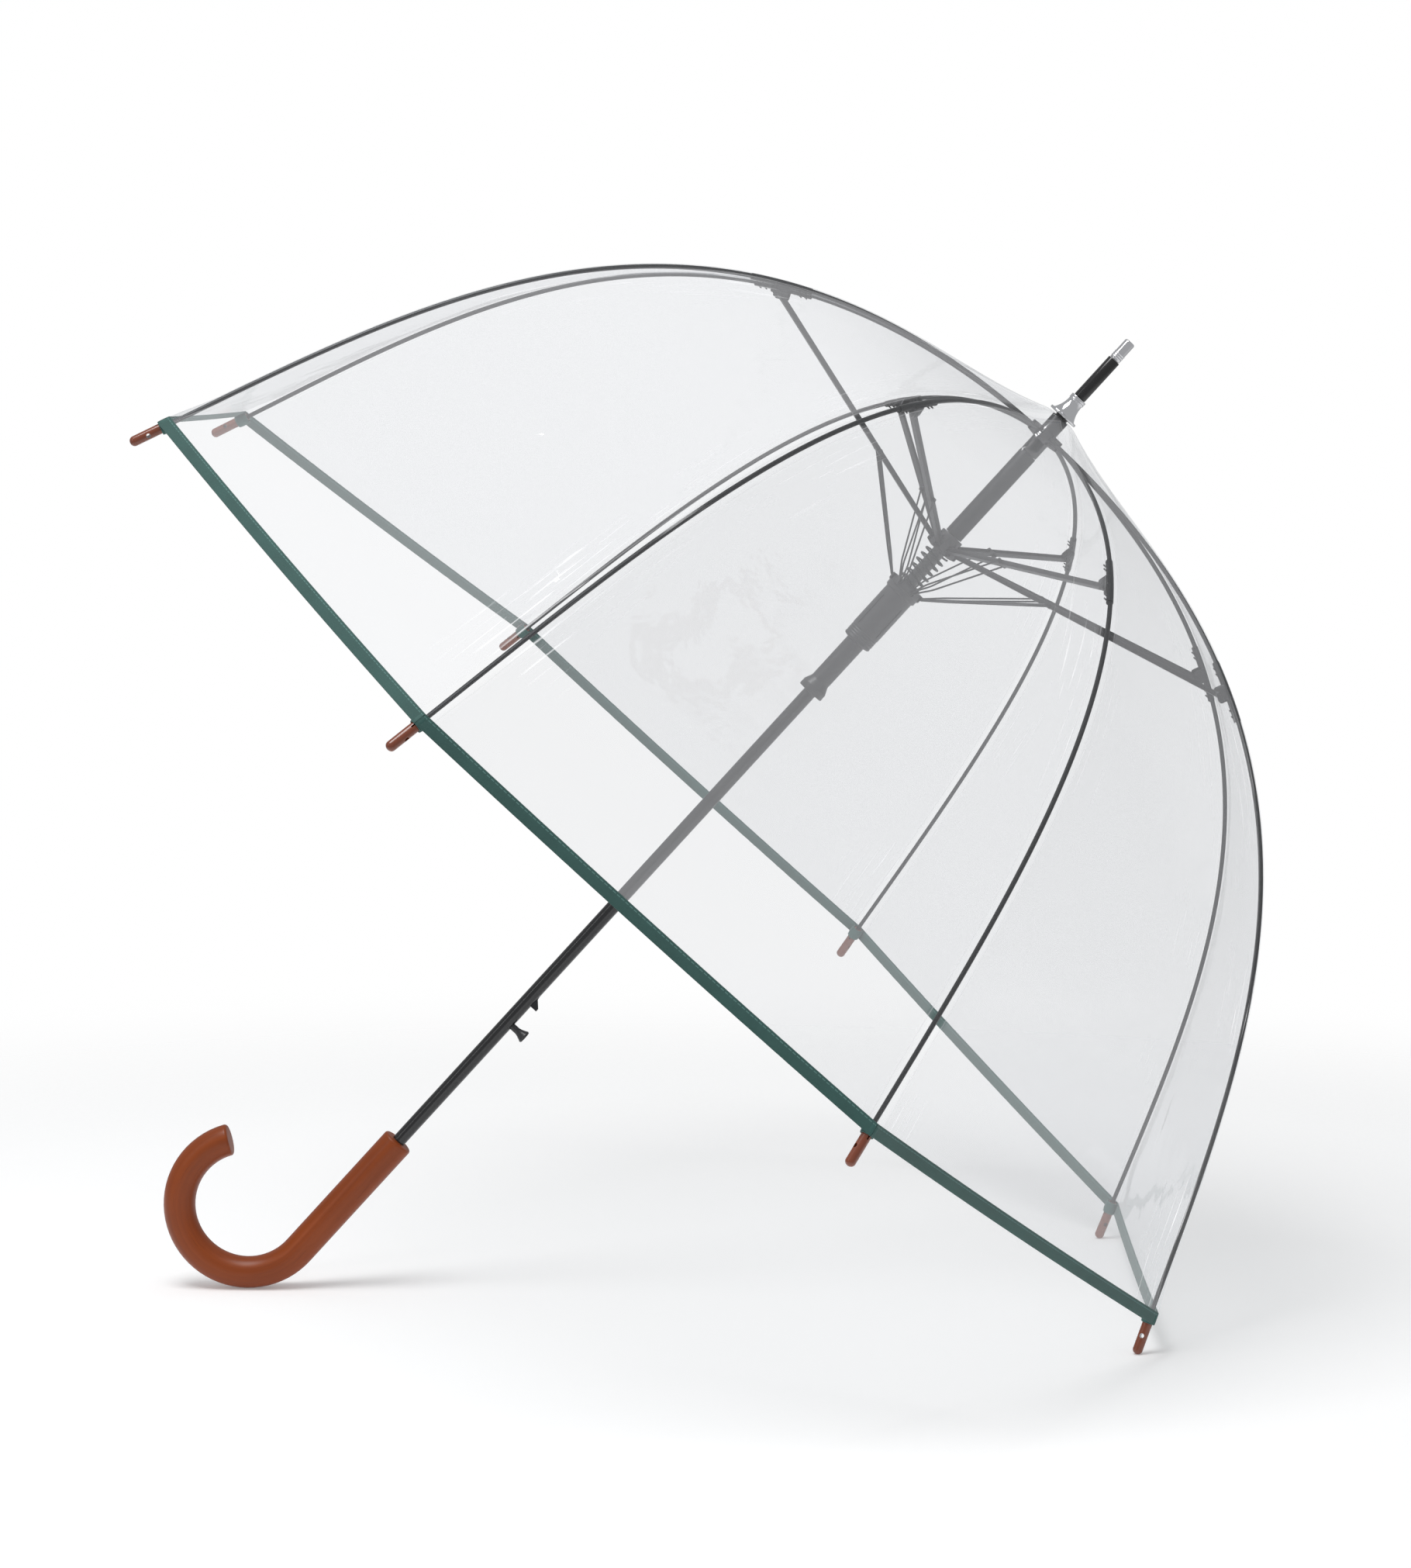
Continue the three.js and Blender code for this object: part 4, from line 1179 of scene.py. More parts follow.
@dataclass(frozen=True)
class Ribs:
    """The springy rods with their brackets and nibs."""

    kit: Kit
    rod_steps: int = 120
    eye_radius: float = 1.9 * MM
    eye_width: float = 2.6 * MM
    bracket_length: float = 42 * MM
    bracket_radius: float = 2.3 * MM
    ear_length: float = 11 * MM
    ear_thickness: float = 0.8 * MM
    ear_gap: float = 4.8 * MM
    nib_length: float = 29 * MM
    nib_radius: float = 3.25 * MM
    nib_bore: float = 1.8 * MM
    nib_hole: float = 1.5 * MM
    bend_length: float = 24 * MM

    def rods(self) -> None:
        """Makes the eight rods."""
        kit, rib = self.kit, self.kit.rib
        end = rib.length + self.nib_length / 2 - 0.3 * MM
        line = [rib.at(end * i / self.rod_steps)[0] for i in range(self.rod_steps + 1)]
        rod = Bench.swept(line, rib.radius, 16)
        eye = Bench.pin(self.eye_radius, self.eye_width, flat(rib.pivot_radius, rib.pivot_height))
        model = Bench.joined([rod, eye])
        bend = kit.stand.pivot("rib_bend_1")
        after = rib.at(rib.distance_at(bend) + self.bend_length)[0]
        for number in range(1, RIBS + 1):
            matrix = kit.stand.rib_matrix(number)
            piece = Bench.copied(model, matrix)
            kit.dress(piece, f"rib_rod_{number}", Slot.FRAME)
            start, stop = matrix @ bend, matrix @ after
            tuple(start)
            tuple(stop)
            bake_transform(piece)
            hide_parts(f"rib_lower_{number}")
        bpy.data.objects.remove(model)
        LOG.info("eight rods bend between rib_upper and rib_lower")

    def brackets(self) -> None:
        """Makes the crimped sleeves with the ears and the pin that the stretchers hang from."""
        kit, rib = self.kit, self.kit.rib
        pivot = kit.stand.pivot("stretcher_fold_1")
        place = rib.distance_at(pivot)
        middle, tangent = rib.at(place)
        drop = (pivot - middle).length
        half = self.bracket_length / 2
        line = [rib.beside(place + half * i / 8, -0.5 * MM) for i in range(-8, 9)]
        sleeve = Bench.swept(line, self.bracket_radius, 20)
        crimps = [
            Bench.pin(0.5 * MM, 2 * self.bracket_radius + MM, rib.beside(place + half * share, -2.75 * MM))
            for share in (-0.82, -0.62, 0.62, 0.82)
        ]
        width = self.ear_gap + 2 * self.ear_thickness
        ears = Bench.block((self.ear_length, width, drop + 2 * MM), (0, 0, -drop / 2 - MM / 2))
        Bench.apply(ears, "BEVEL", width=1.6 * MM, segments=4, limit_method="ANGLE")
        gap = Bench.block((self.ear_length * 2, self.ear_gap, drop + 4 * MM), (0, 0, -drop / 2 - 4.3 * MM))
        Bench.carve(ears, [gap])
        pin = Bench.pin(1.1 * MM, width + 0.6 * MM, (0, 0, -drop))
        heads = [self.rivet_head(side, width / 2, -drop) for side in (1, -1)]
        lug = Bench.joined([ears, pin, *heads])
        lug.data.transform(Matrix.Translation(middle) @ turn_to(tangent))
        model = Bench.joined([sleeve, *crimps, lug])
        for number in range(1, RIBS + 1):
            piece = Bench.copied(model, Matrix.Identity(4))
            body = f"rib_upper_{number}"
            kit.fit(piece, f"bracket_{number}", body, Slot.FRAME, kit.stand.rib_matrix(number), [body])
        bpy.data.objects.remove(model)

    @staticmethod
    def rivet_head(side: int, reach: float, height: float) -> bpy.types.Object:
        """Makes a domed rivet head on one side of the ears.

        Args:
            side: 1 or -1, the way along Y that it faces.
            reach: How far out it sits.
            height: How high it sits.

        Returns:
            The head.
        """
        dome = [(0, 0), (1.9 * MM, 0), (1.75 * MM, 0.35 * MM), (1.1 * MM, 0.7 * MM), (0, 0.8 * MM)]
        head = Bench.turned(dome, 24)
        turn = Matrix.Rotation(-side * math.pi / 2, 4, "X")
        head.data.transform(Matrix.Translation((0, side * reach, height)) @ turn)
        return head

    def nibs(self) -> None:
        """Makes the brown tips: bored for the rod, drilled for the thread and split at the inner end."""
        kit, rib = self.kit, self.kit.rib
        length, radius = self.nib_length, self.nib_radius
        dome = [
            (radius * math.cos(angle), length - radius * 0.9 * (1 - math.sin(angle)))
            for angle in (i * math.pi / 16 for i in range(8))
        ]
        profile = [(0, length / 2), (self.nib_bore, length / 2), (self.nib_bore, 0), (radius - 0.7 * MM, 0)]
        profile += [(radius - 0.1 * MM, 0.8 * MM), (radius, 2.5 * MM), *dome, (0, length)]
        model = Bench.turned(profile, 40)
        model.data.transform(Matrix.Rotation(math.pi / 2, 4, "Y"))
        slit = Bench.block((length * 0.4, MM, 3 * radius), (length * 0.2 - MM, 0, 0))
        hole = Bench.pin(self.nib_hole, 3 * radius, (length * 0.58, 0, 0))
        Bench.carve(model, [slit, hole])
        end, tangent = rib.at(rib.length)
        place = Matrix.Translation(end) @ turn_to(tangent)
        for number in range(1, RIBS + 1):
            piece = Bench.copied(model, place)
            body = f"rib_lower_{number}"
            kit.fit(piece, f"tip_{number}", body, Slot.NYLON, kit.stand.rib_matrix(number), [f"nib_{number}"])
        bpy.data.objects.remove(model)

    def build(self) -> None:
        """Makes rods, brackets and nibs."""
        self.rods()
        self.brackets()
        self.nibs()


@dataclass(frozen=True)
class Linkage:
    """The channel stretchers and the hairpin struts under them."""

    kit: Kit
    width: float = 4.2 * MM
    depth: float = 3.2 * MM
    wall: float = 0.6 * MM
    past_pivot: float = 2.1 * MM
    wire: float = 0.6 * MM
    pinch: float = 20 * MM
    loop: float = 1.1 * MM
    lower_pivot_radius: float = 13.5 * MM
    lower_pivot_drop: float = 37 * MM

    def stretchers(self) -> None:
        """Makes the channels from the brackets to the upper runner."""
        kit = self.kit
        start, end = kit.stand.pivot("stretcher_fold_1"), kit.stand.pivot("main_runner_hang")
        length = (end - start).length
        model = Bench.block((length + 2 * self.past_pivot, self.width, self.depth), (length / 2, 0, 0))
        bpy.ops.object.mode_set(mode="EDIT")
        bpy.ops.mesh.select_all(action="DESELECT")
        bpy.ops.object.mode_set(mode="OBJECT")
        for face in model.data.polygons:
            face.select = face.normal.z < -0.5
        bpy.ops.object.mode_set(mode="EDIT")
        bpy.ops.mesh.inset(thickness=self.wall)
        bpy.ops.mesh.extrude_region_move(TRANSFORM_OT_translate={"value": (0, 0, self.depth - self.wall)})
        bpy.ops.object.mode_set(mode="OBJECT")
        Bench.apply(model, "BEVEL", width=0.3 * MM, segments=3, limit_method="ANGLE")
        strut = (kit.stand.pivot("strut_fold_1") - start).length
        ends = [Bench.pin(1.5 * MM, self.width + 0.9 * MM, (x, 0, 0)) for x in (0, length)]
        boss = Bench.pin(1.6 * MM, self.width + 0.5 * MM, (strut, 0, 0))
        model = Bench.joined([model, *ends, boss])
        place = Matrix.Translation(start) @ turn_to(end - start)
        self.spread(model, place, "stretcher")

    def struts(self) -> None:
        """Makes the hairpins from the stretchers to the lower runner."""
        kit = self.kit
        start = kit.stand.pivot("strut_fold_1")
        runner = kit.stand.pivot("main_runner_hang")
        end = flat(self.lower_pivot_radius, runner.z - self.lower_pivot_drop)
        length = (end - start).length
        side = self.width / 2 + 0.3 * MM + self.wire
        straight = length - self.pinch
        leg = [Vector((0, side, 0)), Vector((straight * 0.5, side, 0))]
        leg += [
            Vector((straight + self.pinch * t, side + (self.loop - side) * t * t * (3 - 2 * t), 0))
            for t in (i / 8 * 0.92 for i in range(9))
        ]
        centre = length - self.loop
        bow = [
            Vector((centre + self.loop * math.cos(angle), self.loop * math.sin(angle), 0))
            for angle in (math.pi / 2 - i * math.pi / 10 for i in range(1, 6))
        ]
        mirror = [Vector((point.x, -point.y, 0)) for point in reversed(leg + bow[:-1])]
        hairpin = Bench.swept(leg + bow + mirror, self.wire, 12)
        eyes = [Bench.pin(1.7 * MM, 1.3 * MM, (0, y, 0)) for y in (side, -side)]
        rivet = Bench.pin(0.8 * MM, 2 * side + 2.4 * MM, (0, 0, 0))
        model = Bench.joined([hairpin, *eyes, rivet])
        self.spread(model, Matrix.Translation(start) @ turn_to(end - start), "strut")

    def spread(self, model: bpy.types.Object, place: Matrix, name: str) -> None:
        """Fits a copy of a model in every rib's plane and bins the model.

        Args:
            model: The arm, as drawn along X from its first pivot.
            place: Where it goes in a rib's plane.
            name: The arm's name, without its number.
        """
        for number in range(1, RIBS + 1):
            node = f"{name}_{number}"
            piece = Bench.copied(model, place)
            matrix = self.kit.stand.rib_matrix(number)
            self.kit.fit(piece, f"{name}_arm_{number}", node, Slot.FRAME, matrix, [node])
        bpy.data.objects.remove(model)

    def build(self) -> None:
        """Makes both sets of arms."""
        self.stretchers()
        self.struts()


def rib_slots(width: float, inner: float, bottom: float, top: float) -> list[bpy.types.Object]:
    """Cutters for the slots of a notched ring.

    Args:
        width: Across a slot.
        inner: The radius that the slots start at.
        bottom: Their lower height.
        top: Their upper height.

    Returns:
        A cutter for each rib.
    """
    cutters = []
    for number in range(1, RIBS + 1):
        cutter = Bench.block((2 * inner, width, top - bottom), (2 * inner, 0, (top + bottom) / 2))
        cutter.data.transform(Matrix.Rotation(rib_angle(number), 4, "Z"))
        cutters.append(cutter)
    return cutters


@dataclass(frozen=True)
class Crown:
    """What holds the film and the ribs at the top: the notched crown, the cap and the ferrule."""

    kit: Kit
    bore: float = 4.9 * MM
    hub: float = 6.2 * MM
    ring: float = 12.6 * MM
    ring_height: float = 7 * MM
    flange: float = 10.5 * MM
    shoulder: float = 8.4 * MM
    waist: float = 5.3 * MM
    rim: float = 5.7 * MM
    rim_height: float = 3.4 * MM
    spigot: float = 3.6 * MM
    sleeve: float = 4.4 * MM
    tip: float = 3.8 * MM
    slot_width: float = 4 * MM
    slot_inner: float = 7 * MM
    slot_margin: float = 2 * MM

    def notch(self) -> None:
        """Makes the crown that the ribs hinge in."""
        low, high = self.kit.stand.extent("crown_notch")
        bottom = self.kit.rib.pivot_height - self.ring_height / 2
        top = bottom + self.ring_height
        corners = [(self.bore, low.z), (self.hub, low.z), (self.hub, bottom - MM), (self.ring, bottom)]
        corners += [(self.ring, top), (self.hub, top), (self.hub, high.z)]
        corners += [(self.bore, high.z), (self.bore, low.z)]
        piece = Bench.turned(rounded(corners, 0.5 * MM), 72)
        margin = self.slot_margin
        Bench.carve(piece, rib_slots(self.slot_width, self.slot_inner, bottom - margin, top + margin))
        self.kit.fit(piece, "crown", "root", Slot.BLACK, nodes=["crown_notch"])

    def cap(self) -> None:
        """Makes the bright cap: a flange, a hollow cone and a stepped rim."""
        low, high = self.kit.stand.extent("cap")
        neck = high.z - self.rim_height
        ledge = low.z + 1.6 * MM
        rise = neck - ledge - 0.5 * MM
        cone = [
            (self.waist + (self.shoulder - self.waist) * (1 - t) ** 2.2, ledge + 0.5 * MM + rise * t)
            for t in (i / 14 for i in range(15))
        ]
        corners = [(self.bore, low.z), (self.flange, low.z), (self.flange, ledge)]
        corners += [(self.shoulder + 0.6 * MM, ledge), *cone]
        corners += [(self.rim, neck + 0.3 * MM), (self.rim, neck + 1.3 * MM)]
        corners += [(self.rim - 0.25 * MM, neck + 1.5 * MM), (self.rim, neck + 1.7 * MM)]
        corners += [(self.rim, high.z), (self.bore, high.z), (self.bore, low.z)]
        piece = Bench.turned(rounded(corners, 0.35 * MM), 72)
        self.kit.fit(piece, "crown_cap", "root", Slot.CHROME, nodes=["cap"])

    def ferrule(self) -> None:
        """Makes the black sleeve and the bright ringed end."""
        low, high = self.kit.stand.extent("ferrule_sleeve")
        base = self.kit.stand.extent("cap")[1].z + 0.3 * MM
        corners = [(0, low.z), (self.spigot, low.z), (self.spigot, base)]
        corners += [(self.sleeve, base), (self.sleeve, high.z), (0, high.z)]
        piece = Bench.turned(rounded(corners, 0.4 * MM), 56)
        self.kit.fit(piece, "ferrule", "root", Slot.SHAFT, nodes=["ferrule_sleeve"])
        low, high = self.kit.stand.extent("ferrule_tip")
        rings = []
        for ring in range(3):
            foot = low.z + (1.4 + 1.5 * ring) * MM
            rings += [(self.tip, foot), (self.tip + 0.28 * MM, foot + 0.3 * MM)]
            rings += [(self.tip + 0.28 * MM, foot + 0.7 * MM), (self.tip, foot + MM)]
        corners = [(0, low.z), (self.tip, low.z), *rings, (self.tip, high.z - 0.8 * MM)]
        corners += [(self.tip - 0.8 * MM, high.z), (0, high.z)]
        piece = Bench.turned(rounded(corners, 0.3 * MM), 56)
        self.kit.fit(piece, "ferrule_end", "root", Slot.CHROME, nodes=["ferrule_tip"])

    def build(self) -> None:
        """Makes all four."""
        self.notch()
        self.cap()
        self.ferrule()


@dataclass(frozen=True)
class Mast:
    """The shaft, its stop sleeve and the release."""

    kit: Kit
    radius: float = 4.6 * MM
    wall: float = 0.7 * MM
    slot_width: float = 3 * MM
    stop: float = 6.4 * MM
    stem: float = 2.3 * MM
    head: float = 4.6 * MM
    leaf_thickness: float = 0.4 * MM
    leaf_keep: float = 0.12

    def shaft(self) -> None:
        """Makes the tube with its slot and its hole."""
        stand = self.kit.stand
        low, high = stand.extent("shaft")
        inner = self.radius - self.wall
        corners = [(inner, low.z), (self.radius, low.z), (self.radius, high.z)]
        corners += [(inner, high.z), (inner, low.z)]
        piece = Bench.turned(corners, 64)
        catch_low, catch_high = stand.extent("catch")
        height = catch_high.z - catch_low.z + MM
        slot_middle = (2 * inner, 0, (catch_low.z + catch_high.z) / 2)
        slot = Bench.block((2 * self.radius, self.slot_width, height), slot_middle)
        button_low, button_high = stand.extent("release_button")
        hole = Bench.pin(self.stem + 0.3 * MM, 2 * self.radius, (0, 0, 0), 40)
        middle = (button_low.z + button_high.z) / 2
        hole.data.transform(Matrix.Translation((2 * inner, 0, middle)) @ Matrix.Rotation(math.pi / 2, 4, "Z"))
        Bench.carve(piece, [slot, hole])
        self.kit.fit(piece, "tube", "root", Slot.SHAFT, nodes=["shaft"])

    def sleeve(self) -> None:
        """Makes the sleeve that stops the upper runner."""
        low, high = self.kit.stand.extent("stop_sleeve")
        bore = self.radius + 0.3 * MM
        corners = [(bore, low.z), (self.stop, low.z), (self.stop, high.z), (bore, high.z), (bore, low.z)]
        piece = Bench.turned(rounded(corners, 0.4 * MM), 56)
        self.kit.fit(piece, "stop_tube", "root", Slot.FRAME, nodes=["stop_sleeve"])

    def button(self) -> None:
        """Makes the push button: a stem with a flared, dished head."""
        low, high = self.kit.stand.extent("release_button")
        neck = high.x - 5 * MM
        corners = [(0, low.x), (self.stem, low.x), (self.stem, neck - 2 * MM), (self.stem + 0.5 * MM, neck)]
        corners += [(self.head - 0.7 * MM, high.x - 2.4 * MM), (self.head, high.x - 1.2 * MM)]
        corners += [(self.head - 0.7 * MM, high.x), (self.head * 0.5, high.x - 0.5 * MM)]
        corners += [(0, high.x - 0.6 * MM)]
        piece = Bench.turned(rounded(corners, 0.6 * MM), 48)
        turn = Matrix.Rotation(math.pi / 2, 4, "Y")
        piece.data.transform(Matrix.Translation((0, 0, (low.z + high.z) / 2)) @ turn)
        self.kit.fit(piece, "push_button", "release_button", Slot.BLACK, nodes=["release_button"])

    def leaf(self) -> None:
        """Makes the bowed leaf behind the button and the catch."""
        kit = self.kit
        low, high = kit.stand.extent("leaf_spring")
        back, front = low.x + self.leaf_thickness / 2, high.x - self.leaf_thickness / 2

        def section(around: float) -> Point:
            """Draws the strip's section.

            Args:
                around: The share of the way round it.

            Returns:
                How far across it, and how far through it.
            """
            angle = around * FULL_TURN
            wide, thick = squared(math.sin(angle), 0.3), squared(math.cos(angle), 0.5)
            return wide * high.y, thick * self.leaf_thickness / 2

        def place(along: float, around: float) -> Vector:
            """Lays the grid's point.

            Args:
                along: The share of the way up the leaf.
                around: The share of the way round the section.

            Returns:
                The point, in the upright frame.
            """
            wide, thick = section(around)
            bow = back + (front - back) * 4 * along * (1 - along)
            return Vector((bow + thick, wide, low.z + (high.z - low.z) * along))

        def measure(along: float, around: float) -> Point:
            """Along the leaf, and round it."""
            return (high.z - low.z) * along, around * high.y

        piece = Bench.woven(40, 24, place, measure)
        Bench.seamed(piece)
        kit.fit(piece, "bowed_leaf", "root", Slot.FRAME, nodes=["leaf_spring"])
        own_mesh(piece)

    def steel(self) -> None:
        """Finishes the sheet-steel catch, which keeps its shape."""
        piece = self.kit.stand.nodes["catch"]
        piece.data.materials.clear()
        piece.data.materials.append(self.kit.finishes[Slot.FRAME])

    def build(self) -> None:
        """Makes the shaft, sleeve, button and leaf, and finishes the catch."""
        self.shaft()
        self.sleeve()
        self.button()
        self.leaf()
        self.steel()


@dataclass(frozen=True)
class Runners:
    """The two runners and the spring between them."""

    kit: Kit
    bore: float = 5.1 * MM
    ring: float = 12.2 * MM
    ring_foot: float = 1.6 * MM
    ring_top: float = 10.6 * MM
    ring_slope: float = 3.2 * MM
    ring_slot: float = 4.8 * MM
    ring_slot_inner: float = 7.6 * MM
    tube: float = 7.4 * MM
    lower_ring: float = 13 * MM
    lower_ring_height: float = 8.5 * MM
    wire_slot: float = 3.9 * MM
    wire_slot_inner: float = 11 * MM
    wire_slot_depth: float = 4.5 * MM
    window_width: float = 3.6 * MM
    window_foot: float = 2.2 * MM
    housing: float = 10.6 * MM
    housing_length: float = 43 * MM
    housing_wall: float = 1.4 * MM
    neck: float = 6.9 * MM
    neck_length: float = 35.5 * MM
    collar: float = 9.2 * MM
    flare: float = 5 * MM
    spring_radius: float = 8.1 * MM
    spring_wire: float = 0.7 * MM
    spring_turns: float = 7.5

    def upper(self) -> None:
        """Makes the upper runner."""
        low, high = self.kit.stand.extent("main_runner")
        ring_low, ring_high = low.z + self.ring_foot, low.z + self.ring_top
        corners = [(self.bore, low.z), (self.tube, low.z), (self.ring, ring_low)]
        corners += [(self.ring, ring_high - self.ring_slope), (self.tube + MM, ring_high)]
        corners += [(self.tube + MM, high.z), (self.bore, high.z), (self.bore, low.z)]
        piece = Bench.turned(rounded(corners, 0.6 * MM), 72)
        Bench.carve(piece, rib_slots(self.ring_slot, self.ring_slot_inner, low.z - MM, ring_high + MM))
        self.kit.fit(piece, "upper_runner", "main_runner", Slot.BLACK, nodes=["main_runner"])

    def lower(self) -> None:
        """Makes the lower runner: ring, grooved housing with a screwed end, neck and windowed collar."""
        low, high = self.kit.stand.extent("lower_runner")
        ring_low = high.z - self.lower_ring_height
        foot = ring_low - self.housing_length
        floor = foot + self.housing_wall
        neck_low = foot - self.neck_length
        inside = self.housing - self.housing_wall
        thread = []
        for turn in range(4):
            height = foot + (9 - 1.8 * turn) * MM
            thread += [(self.housing, height), (self.housing - 0.45 * MM, height - 0.7 * MM)]
        corners = [(inside, high.z), (self.lower_ring, high.z), (self.lower_ring, ring_low + 3.6 * MM)]
        corners += [(self.lower_ring - 1.2 * MM, ring_low + 3 * MM), (self.lower_ring - 1.2 * MM, ring_low)]
        corners += [(self.housing, ring_low - 0.6 * MM), *thread, (self.housing, foot + MM)]
        corners += [(self.housing - MM, foot), (self.neck, foot - 0.6 * MM), (self.neck, neck_low)]
        corners += [(self.collar, neck_low - self.flare), (self.collar, low.z), (self.bore, low.z)]
        corners += [(self.bore, floor), (inside, floor), (inside, high.z)]
        piece = Bench.turned(rounded(corners, 0.5 * MM), 80)
        cutters = rib_slots(self.wire_slot, self.wire_slot_inner, high.z - self.wire_slot_depth, high.z + MM)
        catch_low, catch_high = self.kit.stand.extent("catch")
        opening = catch_high.z - catch_low.z + 1.2 * MM
        window = (self.collar, self.window_width, opening)
        cutters.append(Bench.block(window, (self.collar, 0, low.z + self.window_foot + opening / 2)))
        for quarter in range(4):
            groove = Bench.block(
                (1.2 * MM, 2 * MM, self.housing_length - 18 * MM),
                (self.housing, 0, foot + self.housing_length / 2 + 2 * MM),
            )
            groove.data.transform(Matrix.Rotation(GORE + quarter * math.pi / 2, 4, "Z"))
            cutters.append(groove)
        Bench.carve(piece, cutters)
        self.kit.fit(piece, "spring_housing", "lower_runner", Slot.BLACK, nodes=["lower_runner"])

    def spring(self) -> None:
        """Makes the opening spring."""
        kit = self.kit
        top = kit.stand.extent("main_runner")[0].z - 1.0 * MM
        bottom = kit.stand.extent("opening_spring")[0].z + self.spring_wire
        steps = 24
        count = round(self.spring_turns * steps)
        line = []
        for i in range(count + 1):
            angle = i * FULL_TURN / steps
            height = top + (bottom - top) * i / count
            x, y = self.spring_radius * math.cos(angle), self.spring_radius * math.sin(angle)
            line.append(Vector((x, y, height)))
        piece = Bench.swept(line, self.spring_wire, 12)
        kit.fit(piece, "coil_spring", "main_runner", Slot.FRAME, nodes=["opening_spring"])
        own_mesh(piece)

    def build(self) -> None:
        """Makes all three."""
        self.upper()
        self.lower()
        self.spring()


@dataclass(frozen=True)
class Handle:
    """The bent wooden handle."""

    kit: Kit
    sweep: float = math.radians(213.6)
    edge: float = 1.8 * MM
    step: float = 4 * MM
    sides: int = 48

    def build(self) -> None:
        """Makes the handle from its straight end round to the end of the crook."""
        low, high = self.kit.stand.extent("handle")
        radius = high.x
        crook = (-low.x - radius) / 2
        turn_height = low.z + crook + radius
        straight = high.z - turn_height
        total = straight + crook * self.sweep
        stations = self.stations(total, radius)

        def centre(distance: float) -> tuple[Vector, Vector]:
            """Follows the handle.

            Args:
                distance: How far along it.

            Returns:
                Its middle and its outward side there.
            """
            if distance <= straight:
                return Vector((0, 0, high.z - distance)), Vector((1, 0, 0))
            angle = (distance - straight) / crook
            outward = Vector((math.cos(angle), 0, -math.sin(angle)))
            return Vector((-crook, 0, turn_height)) + outward * crook, outward

        def place(along: float, around: float) -> Vector:
            """Lays the grid's point.

            Args:
                along: The share of the stations.
                around: The share of the way round.

            Returns:
                The point, in the upright frame.
            """
            distance, width = stations[round(along * (len(stations) - 1))]
            middle, outward = centre(distance)
            angle = around * FULL_TURN
            return middle + (outward * math.cos(angle) + Vector((0, 1, 0)) * math.sin(angle)) * width

        def measure(along: float, around: float) -> Point:
            """Along the handle, and round it."""
            return stations[round(along * (len(stations) - 1))][0], around * FULL_TURN * radius

        piece = Bench.woven(len(stations) - 1, self.sides, place, measure)
        Bench.seamed(piece)
        self.kit.fit(piece, "crook_handle", "root", Slot.WOOD, nodes=["handle"])

    def stations(self, total: float, radius: float) -> list[Point]:
        """Sets out the handle from one flat, soft-edged end to the other.

        Args:
            total: Its length.
            radius: Its radius between the ends.

        Returns:
            Distances along it, each with the radius there.
        """
        soft = [
            (self.edge * (1 - math.cos(angle)), radius - self.edge * (1 - math.sin(angle)))
            for angle in (i * math.pi / 12 for i in range(7))
        ]
        start = [(0, 0), (0, radius * 0.5), *soft]
        count = round((total - 2 * self.edge) / self.step)
        middle = [(self.edge + (total - 2 * self.edge) * i / count, radius) for i in range(1, count)]
        return start + middle + [(total - distance, width) for distance, width in reversed(start)]


# The room.


@dataclass(frozen=True)
class Lamp:
    """A soft rectangular light that faces a point."""

    name: str
    place: tuple[float, float, float]
    aim: tuple[float, float, float]
    size: Point
    power: float

    def hang(self) -> None:
        """Puts the light in the room."""
        data = bpy.data.lights.new(self.name, "AREA")
        data.shape = "RECTANGLE"
        data.size, data.size_y = self.size
        data.energy = self.power
        lamp = bpy.data.objects.new(self.name, data)
        bpy.context.scene.collection.objects.link(lamp)
        lamp.location = self.place
        away = Vector(self.aim) - Vector(self.place)
        lamp.rotation_euler = away.to_track_quat("-Z", "Y").to_euler()


LAMPS = (
    Lamp("key", place=(-0.7, -0.9, 3.2), aim=(0, 0, 0.2), size=(1.6, 1.6), power=68),
    Lamp("strip", place=(-2.2, -1.6, 1.5), aim=(0, 0, 0.4), size=(0.12, 1.8), power=4),
)


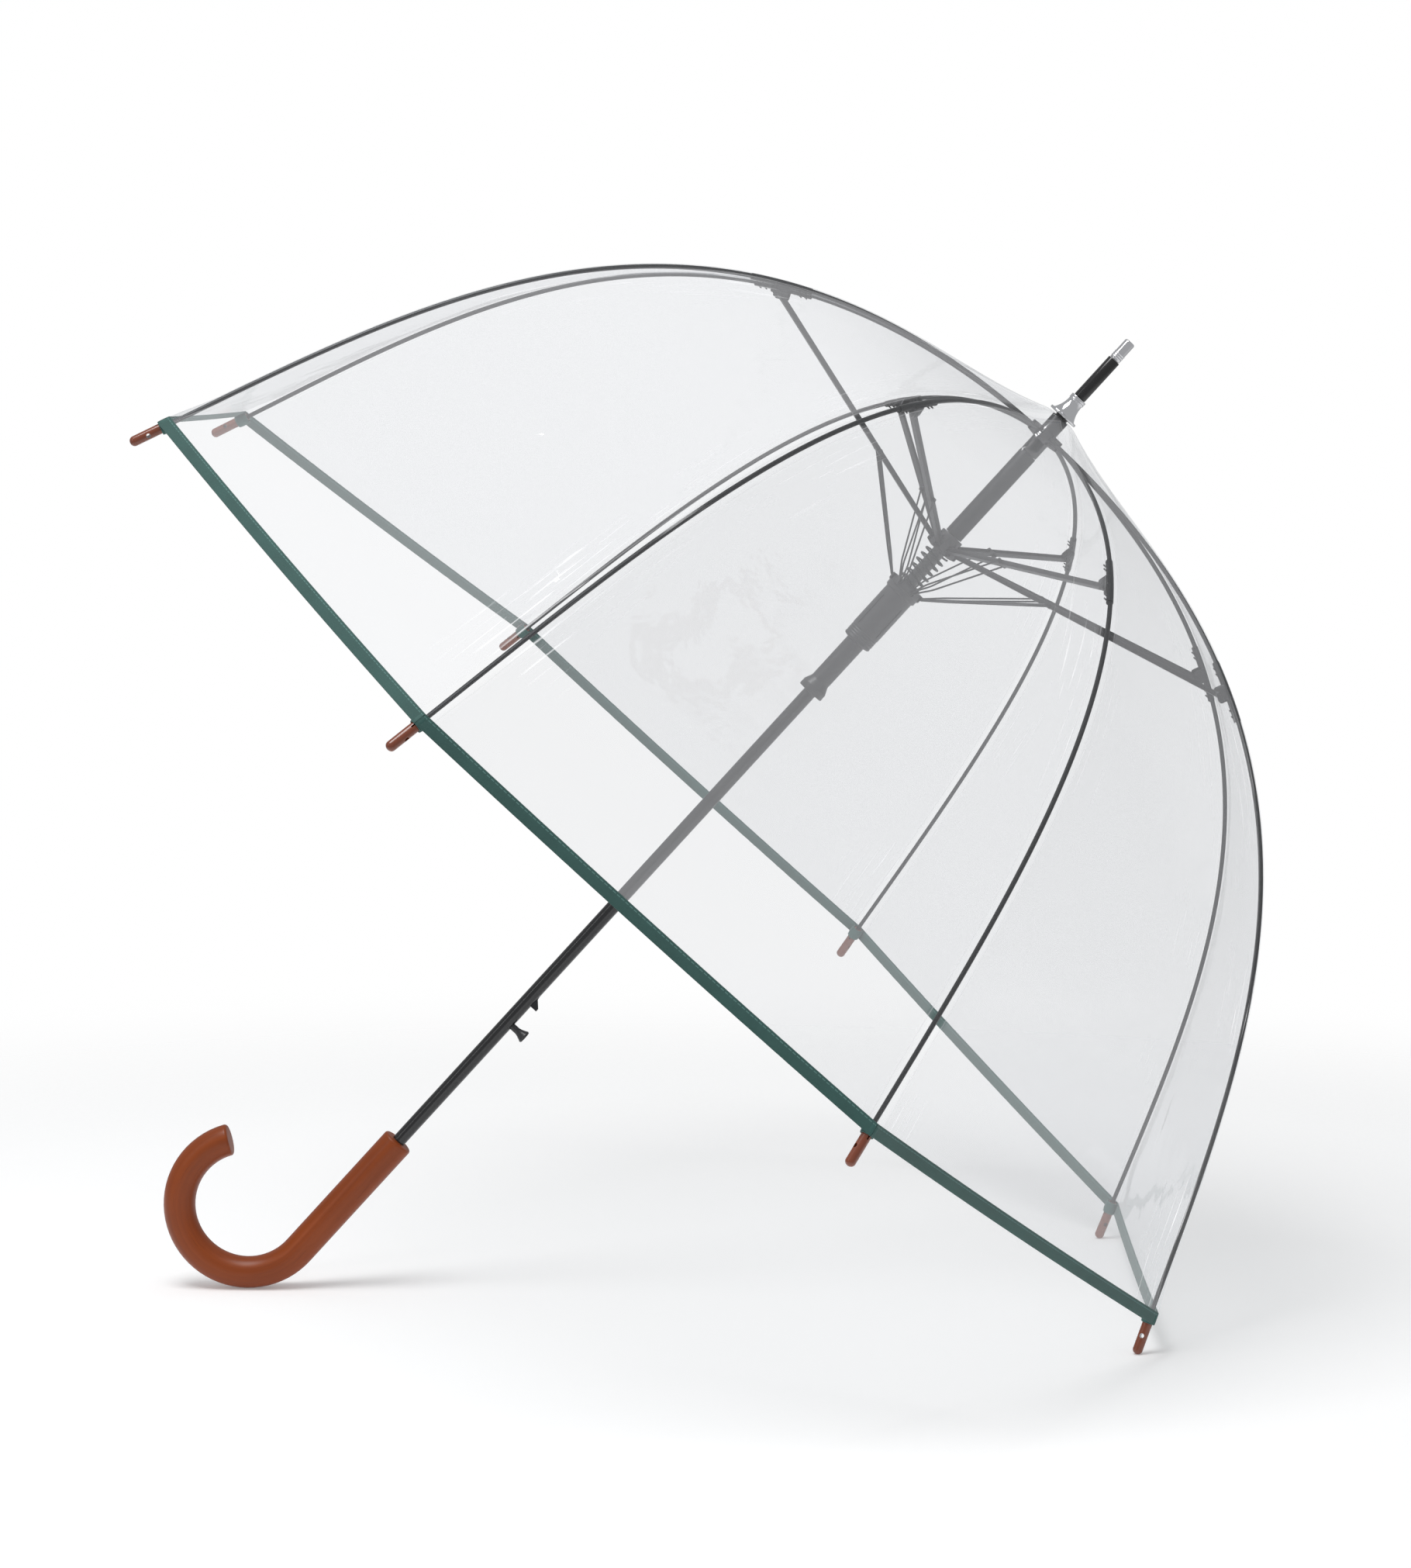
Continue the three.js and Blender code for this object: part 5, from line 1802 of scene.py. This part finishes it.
@dataclass(frozen=True)
class Studio:
    """A white floor and background, soft lights and the camera."""

    stand: Stand
    camera_from_tip: tuple[float, float, float] = (-0.2089, -2.7494, -0.0194)
    pitch: float = 5.69
    turn: float = 1.49
    lens: float = 95.0
    sensor: float = 36.0
    ambience: float = 0.42
    floor_glow: float = 0.20
    floor_start: float = 0.55
    floor_end: float = 1.5

    def floor(self) -> None:
        """Lays the floor, which fades into the white room."""
        Bench.clear()
        bpy.ops.mesh.primitive_plane_add(size=4 * self.floor_end, location=(0, 0, 0))
        floor = bpy.context.object
        floor.name = "floor"
        graph = Graph("floor_white")
        shader = graph.add(
            "BsdfPrincipled",
            {
                "Base Color": (0.85, 0.85, 0.85, 1),
                "Roughness": 1.0,
                "Specular IOR Level": 0.0,
                "Emission Color": (1, 1, 1, 1),
                "Emission Strength": self.floor_glow,
            },
        )
        place = graph.add("TexCoord").outputs["Object"]
        away = graph.add("VectorMath", {0: place}, operation="LENGTH").outputs["Value"]
        fade = graph.add(
            "MapRange",
            {"Value": away, "From Min": self.floor_start, "From Max": self.floor_end},
            interpolation_type="SMOOTHERSTEP",
        )
        nothing = graph.add("BsdfTransparent", {"Color": (1, 1, 1, 1)}).outputs[0]
        mixed = graph.add("MixShader", {0: fade.outputs["Result"], 1: shader.outputs["BSDF"], 2: nothing})
        floor.data.materials.append(graph.finish(mixed.outputs[0]))

    def world(self) -> None:
        """Lights the whole room white."""
        world = bpy.data.worlds.new("room")
        bpy.context.scene.world = world
        world.use_nodes = True
        tree = world.node_tree
        seen = tree.nodes["Background"]
        seen.inputs["Color"].default_value = (1, 1, 1, 1)
        light = tree.nodes.new("ShaderNodeBackground")
        light.inputs["Color"].default_value = (0.97, 0.985, 1, 1)
        light.inputs["Strength"].default_value = self.ambience
        mix = tree.nodes.new("ShaderNodeMixShader")
        path = tree.nodes.new("ShaderNodeLightPath")
        tree.links.new(path.outputs["Is Camera Ray"], mix.inputs[0])
        tree.links.new(light.outputs[0], mix.inputs[1])
        tree.links.new(seen.outputs[0], mix.inputs[2])
        tree.links.new(mix.outputs[0], tree.nodes["World Output"].inputs[0])

    def camera(self) -> None:
        """Stands the camera where the umbrella is seen a little from above."""
        tip = self.stand.matrix @ Vector((0, 0, self.stand.extent("ferrule_tip")[1].z))
        data = bpy.data.cameras.new("camera")
        data.lens = self.lens
        data.sensor_width = self.sensor
        data.clip_end = 100
        camera = bpy.data.objects.new("camera", data)
        bpy.context.scene.collection.objects.link(camera)
        camera.location = tip + Vector(self.camera_from_tip)
        camera.rotation_euler = (math.radians(90 - self.pitch), 0, math.radians(self.turn))
        bpy.context.scene.camera = camera

    def build(self) -> None:
        """Sets up the room."""
        bpy.context.scene.view_settings.view_transform = "Standard"
        self.floor()
        self.world()
        for lamp in LAMPS:
            lamp.hang()
        self.camera()


def main() -> None:
    """Builds the umbrella round its frame, then the room."""
    logging.basicConfig(level=logging.INFO, format="%(message)s")
    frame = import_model()
    rib = RibLine()
    stand = Stand.from_frame(frame, rib.pivot_height)
    finishes = {slot: finish.make() for slot, finish in FINISHES.items()}
    kit = Kit(stand, rib, finishes)
    Studio(stand).build()
    for assembly in (Canopy(kit), Ribs(kit), Linkage(kit), Crown(kit), Mast(kit), Runners(kit), Handle(kit)):
        assembly.build()
        LOG.info("%s is built", type(assembly).__name__)


if __name__ == "__main__":
    main()
